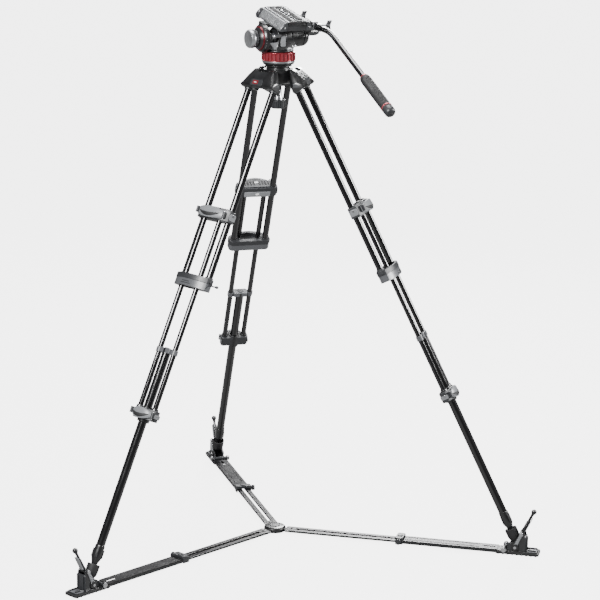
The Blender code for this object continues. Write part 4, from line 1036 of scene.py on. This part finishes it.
@dataclass
class BowlLooks:
    """The crown casting, the levelling half ball and its clamp knob."""

    shop: Workshop
    lug_half: float = 20.0

    def build(self) -> None:
        """Builds the bowl's pieces."""
        self.crown()
        self.half_ball()
        self.knob()

    def crown(self) -> None:
        """The bowl with its rolled rim and three hinge lugs."""
        low, high = span("crown", STILL)
        rim = high.z
        seat = arc(37.8, math.radians(-52), math.radians(2), 6, (0, rim - 2))
        bowl = Solid().turn([(45.5, rim), (47.8, rim - 1.5), (48, rim - 6), (46.6, rim - 8), (46.2, rim - 30),
                             (42, low.z + 4), (34, low.z), (27, low.z)] + seat, STILL, 72, ring=True)
        pins = Solid()
        for leg in Leg:
            joint = f"leg_{leg.value}_spread"
            where = axes(joint_place(joint), joint_axis(joint), UP)
            bowl.block((2 * self.lug_half, 20, 21), (0, -10, 0), where, 2)
            bowl.drum(10.8, -self.lug_half, self.lug_half, where @ at(axis="X"), 40)
            bowl.block((6, 16, 12), (0, -14, 14), where, 1)
            pins.drum(4, -34, 34, where @ at(axis="X"), 24)
        self.shop.fit(bowl, "crown", STILL, CASTING, "crown", 1.0)
        self.shop.fit(pins, "crown_pins", STILL, STEEL, "crown", 0.3)

    def half_ball(self) -> None:
        """The half ball, its flange with a fine groove, and the threaded stem."""
        top = span("half_ball", STILL)[1].z
        centre, radius = joint_place("ball_level").z, 37.2
        flange = [(0, top), (38.5, top), (40.8, top - 1.2), (40.8, top - 2.2), (40, top - 2.7), (40.8, top - 3.2),
                  (40.8, top - 5.2), (33, top - 5.5), (33, centre + 6.6)]
        ball = arc(radius, math.radians(10), math.radians(-80), 9, (0, centre))
        solid = Solid().turn(flange + ball + [(0, centre - radius)], STILL, 72)
        self.shop.fit(solid, "half_ball", STILL, CASTING, "levelling_ball", 0.3)
        threads, pitch, start = 40, 1.6, centre - 36
        profile = [(0, start + 2), (5, start + 2)]
        for i in range(threads):
            profile += [(5, start - pitch * i), (4.4, start - pitch * (i + 0.5))]
        stem = Solid().turn(profile + [(0, start - pitch * threads)], STILL, 24)
        self.shop.fit(stem, "half_ball_stem", STILL, STEEL, "levelling_ball", 0)

    def knob(self) -> None:
        """The flared neck and the knurled head of the clamp knob."""
        low, high = span("ball_clamp_knob", STILL)
        head = low.z + 27
        neck = Solid().turn([(5.8, head - 4), (15, head - 4), (15, head + 2), (12, head + 10), (10.4, head + 22),
                             (9.8, high.z - 4), (11, high.z - 2), (10.6, high.z), (5.8, high.z)], STILL, 48,
                            ring=True)
        self.shop.fit(neck, "ball_clamp_knob_neck", STILL, SILVER, "ball_knob", 0.4)
        grip = Solid().prism(gear(24.5, 1.6, 22), low.z + 4, head - 3)
        grip.turn([(0, head), (20.5, head), (22.8, head - 2), (22.8, head - 6), (0, head - 6)], STILL, 64)
        grip.turn([(0, low.z + 6), (22.8, low.z + 6), (22.2, low.z + 2), (19, low.z), (0, low.z)], STILL, 64)
        self.shop.fit(grip, "ball_clamp_knob", STILL, NYLON, "ball_knob", 0.5)


# ---------------------------------------------------------------- fluid head

@dataclass
class HeadLooks:
    """The fluid head: base, drag ring, panning body, tilting cradle, camera plate and pan bar."""

    shop: Workshop
    tilt_height: float = 95.0          # above the bowl's rim
    cone_end: float = -78.5            # narrow end of the drag housing, along X
    bar_radius: float = 8.5
    grip_radius: float = 16.5
    grip_length: float = 178.0
    bar_drop: float = math.radians(29)
    bar_splay: float = math.radians(-2)

    def __post_init__(self) -> None:
        """Finds the axes of the panning and the tilting parts."""
        across = joint_axis("tilt")
        self.pan = axes(joint_place("pan"), across, UP)
        self.tilt = axes(joint_place("tilt"), across, across.cross(joint_axis("plate_slide")))

    def build(self) -> None:
        """Builds the head's pieces."""
        self.base()
        self.drag_ring()
        self.body()
        self.body_trim()
        self.tilt_lock()
        self.cone()
        self.receiver()
        self.right_arm()
        self.plate()
        self.drag_knob()
        self.pan_bar()
        self.grip()
        self.wing("plate_lock_knob", "plate_lock", "plate_lock_turn")
        self.wing("pan_bar_clamp_knob", "bar_knob", "bar_knob_turn")

    def fit(self, solid: Solid, name: str, finish: Finish, body: str, where: Matrix | None = None,
            bevel: float = 0.6, stands_for: str = "") -> None:
        """Hangs a piece, in the tilting axes unless others are given."""
        self.shop.fit(solid, name, self.tilt if where is None else where, finish, body, bevel, stands_for)

    def base(self) -> None:
        """The base: a black dish under a bright rim, and the hub that the ring turns on."""
        low, high = span("head_base", self.pan)
        foot, rim = at(0, 0, low.z), 11.3
        dish = [(0, 0), (44, 0), (46.5, 1.5), (48.5, rim - 4.5), (48.5, rim - 2), (0, rim - 2)]
        bright = [(39, rim - 4.6), (49, rim - 4.6), (49.8, rim - 3.6), (49.8, rim - 0.8), (49.2, rim), (39, rim)]
        top = high.z - low.z
        hub = Solid().turn([(0, rim - 4), (39.6, rim - 4), (39.6, top), (0, top)], foot, 64)
        self.fit(Solid().turn(dish, foot, 72), "head_base", CASTING, "levelling_ball", self.pan, 0.4)
        self.fit(Solid().turn(bright, foot, 72, True), "head_base_rim", SILVER, "levelling_ball", self.pan, 0.2)
        self.fit(hub, "head_base_hub", STEEL, "levelling_ball", self.pan, 0.3)

    def drag_ring(self) -> None:
        """The red ring: upright ribs between two plain lips."""
        low, high = span("pan_drag_ring", self.pan)
        ribs = 26
        outer = gear(51.5, 3.2, ribs, 0.50)
        inner = [(40.2 * math.cos(math.atan2(y, x)), 40.2 * math.sin(math.atan2(y, x))) for x, y in outer]
        ring = Solid().hollow_prism(outer, inner, low.z + 2.8, high.z - 2.8)
        for z0, z1 in ((low.z, low.z + 3), (high.z - 3, high.z)):
            ring.turn([(40.2, z0), (49, z0), (50.6, z0 + 1), (50.6, z1 - 1), (49, z1), (40.2, z1)], STILL, 72,
                      ring=True)
        self.fit(ring, "pan_drag_ring", RED, "drag_ring", self.pan, 0.35)

    def body(self) -> None:
        """The panning body: foot plate, flared tower, drum and axle."""
        low, _ = span("pan_body", self.pan)
        axis = self.tilt_height
        plate_top = low.z + 7
        body = Solid().turn([(0, low.z), (44.5, low.z), (45.8, low.z + 1.5), (45.8, low.z + 4.5), (44, plate_top),
                             (0, plate_top)], STILL, 72)
        levels = ((plate_top - 1, -30, 36, 33), (plate_top + 6, -27, 40, 31.5), (plate_top + 14, -23, 45, 30.5),
                  (axis - 4, -20, 48, 30), (axis + 4, -20, 48, 30))
        body.loft([[(x, y, z) for x, y in rectangle(x0, x1, -deep, deep, 9, 6)] for z, x0, x1, deep in levels])
        for x0, x1, radius in ((-18, 10, 31.8), (10, 29, 33), (30.6, 50, 33), (50, 72, 31.8)):
            body.drum(radius, x0, x1, at(0, 0, axis, "X"), 64, 1.2)
        body.drum(30, 20, 40, at(0, 0, axis, "X"), 48)
        self.fit(body, "pan_body", CASTING, "panning_body", self.pan, 0.9)
        axle = Solid().drum(22, -51.2, 2, at(0, 0, axis, "X"), 64, 1)
        axle.drum(25, -30, -17, at(0, 0, axis, "X"), 64, 1)
        self.fit(axle, "pan_body_axle", NYLON, "panning_body", self.pan, 0.5)

    def body_trim(self) -> None:
        """What stands on the body: bright side face, pale web, bubble level and screws."""
        low, _ = span("pan_body", self.pan)
        axis, top = self.tilt_height, low.z + 7
        face = Solid().prism(rectangle(-11, 5, top + 10, axis + 6, 3), -0.8, 3.8, at(0, -30.5, 0, "-Y"))
        self.fit(face, "body_side_face", LIGHT_NYLON, "panning_body", self.pan, 0.5)
        web = Solid().prism([(-48.5, axis - 12), (-18, axis - 12), (-18, top + 2), (-24, top - 1), (-30, top)], -4,
                            4, at(0, -24, 0, "-Y"))
        self.fit(web, "body_web", LIGHT_NYLON, "panning_body", self.pan, 0.9)
        level = at(18, -35, top - 0.5)
        cup = Solid().turn([(6.8, -2), (9.2, -2), (9.2, 3), (8.4, 4), (6.8, 4)], level, 40, ring=True)
        self.fit(cup, "level_cup", SILVER, "panning_body", self.pan, 0.3)
        dome = Solid().sphere(7, (18, -35, top + 2), 0, QUARTER, 32, 0.62)
        self.fit(dome, "level_dome", ACETAL, "panning_body", self.pan, 0)
        screws = Solid()
        for x in (30, 40):
            screws.drum(2.6, 0, 1.6, at(x, -30, top + 10, "-Y"), 20, 0.4)
        for x, z in ((-10, axis - 12), (40, axis - 26)):
            screws.drum(3, 0, 1.4, at(x, -30, z, "-Y"), 24, 0.4)
        self.fit(screws, "body_screws", STEEL, "panning_body", self.pan, 0)

    def tilt_lock(self) -> None:
        """The tilt lock: a round boss with a cap, and its flat lever."""
        place = joint_place("tilt_lock_hinge")
        where = axes(place, joint_axis("tilt"), UP)
        lever = Solid().drum(8.8, 0, 15, at(0, 0, 0, "-Y"), 40, 0.8)
        bow = [(-4, -6), (10, -5), (24, -4.2), (27.5, -2), (28, 3), (24, 5), (10, 5.2), (-4, 6.2)]
        lever.prism(bow, 12.2, 16.8, at(0, 0, 0, "-Y"))
        self.fit(lever, "tilt_lock_lever", NYLON, "tilt_lock", where, 0.9)
        cap = Solid().drum(4.8, 14, 17.2, at(0, 0, 0, "-Y"), 32, 0.6)
        self.fit(cap, "tilt_lock_cap", STEEL, "tilt_lock", where, 0)

    def cone(self) -> None:
        """The tilt drag housing: a cone with a red ring let into it, darkened as painted shade, and a scale of fine
        marks.
        """
        narrow, side = at(self.cone_end, axis="X"), -52 - self.cone_end
        cone = [(0, 0), (25.5, 0), (28.5, 2), (33, 6.5), (32.6, 7), (36.2, 10), (37.2, 10.5), (42.5, 17),
                (43.6, side - 4), (43.6, side - 1), (42, side), (0, side)]
        self.fit(Solid().turn(cone, narrow, 72), "tilt_cradle_cone", CASTING, "cradle", bevel=0.4,
                 stands_for="tilt_cradle")
        # Painted shade: the ring's red is darkened because little light reaches it inside the housing.
        ring = Solid().turn([(31, 6.6), (33.4, 6.6), (37.1, 10.4), (35, 10.4)], narrow, 72, True)
        self.fit(ring, "tilt_cradle_red_ring", SHADED_RED, "cradle", bevel=0)
        ticks = Solid()
        for i in range(9):
            ticks.drum(0.9, 0, 1.2, narrow @ at(spin=200 + 12 * i) @ at(40.6, 0, 14.2, "X"), 12)
        self.fit(ticks, "tilt_cradle_ticks", LIGHT_NYLON, "cradle", bevel=0)

    def receiver(self) -> None:
        """The plate's receiver: a dark core between two long ribbed flanks, with an end cap at the front."""
        low, high = span("sliding_plate", self.tilt)
        middle, half, ribs = (low.x + high.x) / 2, 72, 7
        foot, waist, top, floor = 44, 50, 71.5, 60.6
        place = at(middle) @ FROM_XZ
        core = [(-52, foot), (52, foot), (46, floor), (-46, floor)]
        self.fit(Solid().prism(core, -half, half, place), "receiver_core", CASTING, "cradle", bevel=0.9)
        line = [(33.3, floor - 1), (33.3, top - 1), (34.5, top), (41.5, top)]
        for i in range(ribs):
            x, z = 43 + 13 * i / ribs, top - 1 + (waist - top + 1) * i / ribs
            line += [(x, z), (x + 1.2, z - 2), (x + 0.4, z - 2.6)]
        line += [(56, waist), (56, foot + 1), (55, foot), (42, foot)]
        back = [(33.5, foot), (56, foot), (56, waist), (42.5, top - 1.5), (33.5, top - 1.5)]
        flanks, caps, screws = Solid(), Solid(), Solid()
        for outline, start, end in (([(-57.5, foot - 3), (-30, foot - 3), (-30, top - 1), (-45.5, top - 1),
                                      (-60, waist + 4)], -12, 3), ([(30, foot), (56.5, foot), (56.5, waist + 1),
                                                                    (44, top - 1), (30, top - 1)], -2, 2),
                                    ([(-30, foot), (30, foot), (30, floor - 1), (-30, floor - 1)], -2, 1.5)):
            caps.prism(outline, half + start, half + end, place)
        lean = Matrix.Rotation(math.radians(-60), 4, "Y")
        screws.drum(5.2, 0, 3.2, at(middle - 53.5, half - 4.5, 60) @ lean, 32, 0.8)
        for side in (-1, 1):
            flanks.prism([(side * x, z) for x, z in line], 1 - half, half - 1, place)
            caps.prism([(side * x, z) for x, z in back], -half - 1.6, 2 - half, place)
            screws.drum(2.8, 0, 1.4, at(middle + side * 43, -half - 1.4, 54.5, "-Y"), 24, 0.4)
        self.fit(flanks, "receiver_flanks", SILVER, "cradle", bevel=0.25)
        self.fit(caps, "receiver_caps", NYLON, "cradle", bevel=0.9)
        self.fit(screws, "receiver_screws", STEEL, "cradle", bevel=0)

    def right_arm(self) -> None:
        """The crossbar, the round right housing, the lug with its rosette and the tongue below it."""
        start, end = 74.5, 96.5
        arm = Solid().turn([(0, start), (30, start), (31.2, start + 1.5), (31.2, start + 6), (29, start + 12),
                            (24.5, start + 18), (18, end - 0.6), (0, end)], at(axis="X"), 72)
        arm.block((20, 44, 37.5), (85.5, 0, 18.8), STILL, 4)
        arm.block((172, 32, 11.5), (24, 10, 40.3), STILL, 3)
        arm.block((14.5, 28, 31.5), (102.5, 6.25, 28.3), STILL, 3)
        self.fit(arm, "tilt_cradle_arm", CASTING, "cradle", bevel=1)
        cap = Solid().pipe(12, 16, end - 4, end + 0.2, at(axis="X")).drum(7, end - 3, end + 1.2, at(axis="X"), 6,
                                                                          0.4)
        self.fit(cap, "tilt_cradle_arm_cap", NYLON, "cradle", bevel=0.3)
        tongue = [(94, -1.8), (132, -1.8), (142.5, 3), (144, 10), (94, 10)]
        self.fit(Solid().prism(tongue, 0.5, 27.5, FROM_XZ), "bar_tongue", NYLON, "cradle", bevel=1)
        hinge = self.tilt.inverted() @ joint_place("bar_hinge")
        rosette = Solid().prism(gear(14, 0.9, 36, 0.4), 108.5, 116, at(0, hinge.y, hinge.z, "X"))
        self.fit(rosette, "bar_rosette", STEEL, "cradle", bevel=0.2)

    def plate(self) -> None:
        """The sliding camera plate: bright rails, dark pads, a slot with its two screws and end stops."""
        low, high = span("sliding_plate", self.tilt)
        middle, wide, pad_x, pad_end = (low.x + high.x) / 2, (high.x - low.x) / 2, 17.5, 56
        place = at(middle, 0, high.z)
        outer = rectangle(-wide, wide, low.y, high.y, 4, 6)
        slot = [(x * 4.2 / wide, math.copysign(46 if abs(x) < wide * 0.9 else 43, y)) for x, y in outer]
        plate = Solid().hollow_prism(outer, slot, -6.2, -1.2, place)
        plate.prism(outer, low.z - high.z, -9, place)
        plate.prism(rectangle(3 - wide, wide - 3, low.y + 2, high.y - 2, 3), -9.8, -6, place)
        self.fit(plate, "sliding_plate", CASTING, "plate", bevel=0.35)
        strips, pads, ends, screws = Solid(), Solid(), Solid(), Solid()
        for side in (-1, 1):
            strips.prism(rectangle(-3.5, 3.5, low.y + 3, high.y - 3, 1), -2, -0.2, place @ at(side * (wide - 4)))
            strips.prism(rectangle(-1.6, 1.6, -pad_end, pad_end, 1), -2, -0.4, place @ at(side * 6.6))
            pads.prism(rectangle(-7.6, 7.6, -pad_end, pad_end, 3), -1.6, 0.2, place @ at(side * pad_x))
            for i in range(13):
                pads.block((13.5, 2.2, 1), (side * pad_x, -52.5 + 8.75 * i, 0.3), place)
        self.fit(strips, "plate_strips", SILVER, "plate", bevel=0.3)
        self.fit(pads, "plate_pads", RUBBER, "plate", bevel=0.3)
        for y in (low.y + 10, high.y - 10):
            ends.block((46, 6, 1.6), (0, y, -0.6), place, 2)
        self.fit(ends, "plate_ends", NYLON, "plate", bevel=0.4)
        for y in (-16, 26):
            screws.drum(6.2, -6, -2.6, place @ at(0, y), 32, 0.6).drum(3.2, -3, 4, place @ at(0, y), 24, 0.8)
        self.fit(screws, "plate_screws", STEEL, "plate", bevel=0)

    def drag_knob(self) -> None:
        """The tilt drag knob: knurled black skirt and a dished grey cap."""
        place = at(self.cone_end - 0.3, 0, 0, "-X")
        skirt = Solid().prism(gear(27, 1.1, 28), 4, 15, place).turn([(0, 0), (23.5, 0), (25, 5), (0, 5)], place, 64)
        self.fit(skirt, "tilt_drag_knob", NYLON, "drag_knob", bevel=0.4)
        cap = [(0, 14), (27.2, 14), (28, 15.5), (28, 23.5), (26.2, 26.6), (24, 27.5), (21.5, 26.2), (0, 25.6)]
        self.fit(Solid().turn(cap, place, 72), "tilt_drag_knob_cap", SILVER, "drag_knob", bevel=0.2)
        band = Solid().pipe(24, 28.4, 13.6, 14.8, place, 64)
        self.fit(band, "tilt_drag_knob_band", RUBBER, "drag_knob", bevel=0)

    def bar_axes(self) -> Matrix:
        """Axes of the bar at its hub: Y level and forward, splayed a little outward."""
        level = axes(joint_place("bar_hinge"), joint_axis("tilt"), UP)
        return level @ Matrix.Rotation(self.bar_splay, 4, "Z")

    def bar_route(self) -> list[Vector]:
        """The bar's centre line: a short way back, a wide bend down, and the long straight."""
        start, bend, straight, chords = 70, 130, 372, 18
        slope, drop = math.radians(6), self.bar_drop
        points = [Vector((0, -start * math.cos(slope) * s, -start * math.sin(slope) * s)) for s in (0, 0.5, 1)]
        base = points[-1]
        for i in range(1, chords + 1):
            angle = slope + (drop - slope) * i / chords
            points.append(base - bend * Vector((0, math.sin(angle) - math.sin(slope),
                                                math.cos(slope) - math.cos(angle))))
        return points + [points[-1] - straight * Vector((0, math.cos(drop), math.sin(drop)))]

    def pan_bar(self) -> None:
        """The bent bar and the toothed hub that clamps on the rosette."""
        where = self.bar_axes()
        bar = Solid().sweep(self.bar_route(), self.bar_radius, 40)
        self.fit(bar, "pan_bar", TUBE, "bar", where, 0.3)
        straight = where @ Matrix.Rotation(-self.bar_splay, 4, "Z")
        hub = Solid().drum(13.5, -9.2, 9.2, at(axis="X"), 48, 1.2)
        hub.block((17, 30, 19), (0, -18, -1), STILL, 4)
        hub.turn([(0, 26), (10.8, 26), (11.4, 30), (10.8, 40), (0, 40)], at(axis="-Y")
                 @ Matrix.Rotation(math.radians(6), 4, "X"), 40)
        self.fit(hub, "pan_bar_hub", CASTING, "bar", straight, 0.9)
        teeth = Solid().prism(gear(13.6, 0.9, 36, 0.4), -9.8, -7.2, at(axis="X"))
        self.fit(teeth, "pan_bar_teeth", STEEL, "bar", straight, 0)

    def grip(self) -> None:
        """The rubber grip: fine rings between red collars, with a domed end cap."""
        turn = Matrix.Rotation(QUARTER + self.bar_drop, 4, "X")
        where = self.bar_axes() @ Matrix.Translation(self.bar_route()[-1]) @ turn
        length, radius, bore, rings = self.grip_length - 12, self.grip_radius, 8.7, 30
        start, end = 13 - length, -22
        profile: list[Point2] = [(bore, -length), (radius - 3.5, -length), (radius - 1.2, 3 - length),
                                 (radius - 0.6, 10 - length)]
        step = (end - start) / rings
        for i in range(rings):
            z = start + step * i
            profile += [(radius - 1.2, z), (radius, z + step * 0.22), (radius, z + step * 0.62),
                        (radius - 1.2, z + step * 0.84)]
        profile += [(radius - 1, end), (radius - 1, -10), (bore, -10)]
        self.fit(Solid().turn(profile, STILL, 56, True), "pan_bar_grip", RUBBER, "bar", where, 0)
        collars = Solid()
        for z, reach in ((-length - 0.8, radius - 3), (-20, radius + 0.4)):
            collars.turn([(8.6, -2.2), (reach - 0.4, -2.2), (reach, -1.4), (reach, 1.4), (reach - 0.4, 2.2),
                          (8.6, 2.2)], at(0, 0, z), 56, True)
        self.fit(collars, "grip_collars", RED, "bar", where, 0)
        cap = Solid().turn([(0, -12), (radius, -12), (radius + 0.2, -10), (radius, 2), (radius - 1.2, 7),
                            (radius - 4, 10.4), (9, 11.6), (0, 12)], STILL, 56)
        self.fit(cap, "grip_cap", NYLON, "bar", where, 0.3)
        self.fit(Solid().prism(stadium(13, 2.6), 11.2, 12.6), "grip_cap_slot", RUBBER, "bar", where, 0)

    def wing(self, node: str, body: str, joint: str) -> None:
        """A knob with a waisted wing on a thin stalk.

        Args:
            node: the CAD node.
            body: the body it rides on.
            joint: the joint it turns on.
        """
        back = self.tilt.to_3x3() @ Vector((0, 1, 0))
        where = axes(joint_place(joint), back, joint_axis(joint))
        tip = span(node, where)[1].z
        stalk = Solid().drum(3, 0, tip - 12, STILL, 24, 0.4).drum(6.2, 0, 5, STILL, 32, 0.8)
        self.fit(stalk, f"{node}_stalk", STEEL, body, where, 0.2)
        reach, steps = 14.8, 6
        loops = []
        for i in range(-steps, steps + 1):
            share = i / steps
            deep = 2.8 + abs(share)
            foot, top = tip - 17 + 3 * share * share, tip - 0.6 - 3.5 * (1 - share * share)
            loops.append([(x, reach * share, z) for x, z in ((-deep, foot), (deep, foot), (deep * 0.8, top),
                                                             (-deep * 0.8, top))])
        wing = Solid().loft(loops).drum(5.8, tip - 19, tip - 7, STILL, 32, 1)
        self.fit(wing, node, NYLON, body, where, 0.9)


# ---------------------------------------------------------------- studio

@dataclass
class Studio:
    """Pale floor, soft lights and the camera, in metres."""

    eye: Point3 = (-1.7575, -6.433, 2.322)
    look: Point3 = (0.2667, 0.9361, -0.2292)
    roll: float = 0.0101
    lens_mm: float = 132.74
    sensor_mm: float = 36.0
    ambient: float = 0.17              # the surround, as the tripod is lit by it
    backdrop: float = 5.0              # and as it is seen behind the tripod
    glow: float = 4.8                  # what keeps the floor as pale as the backdrop

    def build(self) -> None:
        """Sets up the studio."""
        self.floor()
        self.lights()
        self.camera()

    def floor(self) -> None:
        """A wide pale floor."""
        mesh = bpy.data.meshes.new("studio_floor")
        mesh.from_pydata([(-30, -30, 0), (30, -30, 0), (30, 30, 0), (-30, 30, 0)], [], [(0, 1, 2, 3)])
        floor = bpy.data.objects.new("studio_floor", mesh)
        bpy.context.scene.collection.objects.link(floor)
        floor.location.z = -0.0006
        paint = bpy.data.materials.new("studio_floor_paint")
        paint.use_nodes = True
        shader = paint.node_tree.nodes["Principled BSDF"]
        shader.inputs["Base Color"].default_value = linear("#6e6e6e")
        shader.inputs["Roughness"].default_value = 0.7
        shader.inputs["Emission Color"].default_value = linear("#ffffff")
        seen = add_node(paint.node_tree, "ShaderNodeLightPath")
        glow = add_node(paint.node_tree, "ShaderNodeMath", {"operation": "MULTIPLY"},
                        {0: seen.outputs["Is Camera Ray"], 1: self.glow})
        paint.node_tree.links.new(glow.outputs[0], shader.inputs["Emission Strength"])
        mesh.materials.append(paint)

    def lights(self) -> None:
        """A surround that is dim for the tripod and white for the eye, and four soft boxes."""
        world = bpy.data.worlds.new("studio_surround")
        bpy.context.scene.world = world
        world.use_nodes = True
        surround = world.node_tree.nodes["Background"]
        surround.inputs["Color"].default_value = linear("#ffffff")
        seen = add_node(world.node_tree, "ShaderNodeLightPath")
        level = add_node(world.node_tree, "ShaderNodeMapRange", inputs={"Value": seen.outputs["Is Camera Ray"],
                                                                        "To Min": self.ambient,
                                                                        "To Max": self.backdrop})
        world.node_tree.links.new(level.outputs[0], surround.inputs["Strength"])
        for name, place, aim, size, power in (("key_box", (-2.6, -2.6, 3.2), (0.0, 0.0, 0.9), 1.3, 380.0),
                                              ("side_box", (3.2, -1.2, 2.2), (0.0, 0.0, 0.8), 1.0, 230.0),
                                              ("top_box", (0.2, 0.8, 4.2), (0.0, 0.0, 1.0), 2.0, 180.0),
                                              ("back_box", (1.6, 3.4, 2.4), (0.0, 0.0, 0.9), 1.2, 190.0)):
            lamp = bpy.data.lights.new(name, "AREA")
            lamp.size = size
            lamp.energy = power
            box = bpy.data.objects.new(name, lamp)
            bpy.context.scene.collection.objects.link(box)
            box.location = place
            box.rotation_mode = "QUATERNION"
            box.rotation_quaternion = (Vector(aim) - Vector(place)).to_track_quat("-Z", "Y")

    def camera(self) -> None:
        """The camera, at the angle that the tripod is seen from."""
        data = bpy.data.cameras.new("camera")
        data.sensor_width = self.sensor_mm
        data.lens = self.lens_mm
        data.clip_end = 100.0
        camera = bpy.data.objects.new("camera", data)
        bpy.context.scene.collection.objects.link(camera)
        ahead = Vector(self.look).normalized()
        right = ahead.cross(UP).normalized()
        up = right.cross(ahead)
        turned = right * math.cos(self.roll) + up * math.sin(self.roll)
        upright = up * math.cos(self.roll) - right * math.sin(self.roll)
        turn = Matrix((turned, upright, -ahead)).transposed().to_4x4()
        camera.matrix_world = Matrix.Translation(self.eye) @ turn
        bpy.context.scene.camera = camera


def main() -> None:
    """Builds the tripod's looks in order, from the floor up."""
    logging.basicConfig(level=logging.INFO, format="%(message)s")
    shop = Workshop()
    for looks in (SpreaderLooks(shop), *(LegLooks(leg, shop) for leg in Leg), BowlLooks(shop), HeadLooks(shop)):
        before = len(shop.made)
        looks.build()
        for name in shop.made[before:]:
            LOG.info("%s: %s", type(looks).__name__, name)
    Studio().build()


if __name__ == "__main__":
    main()
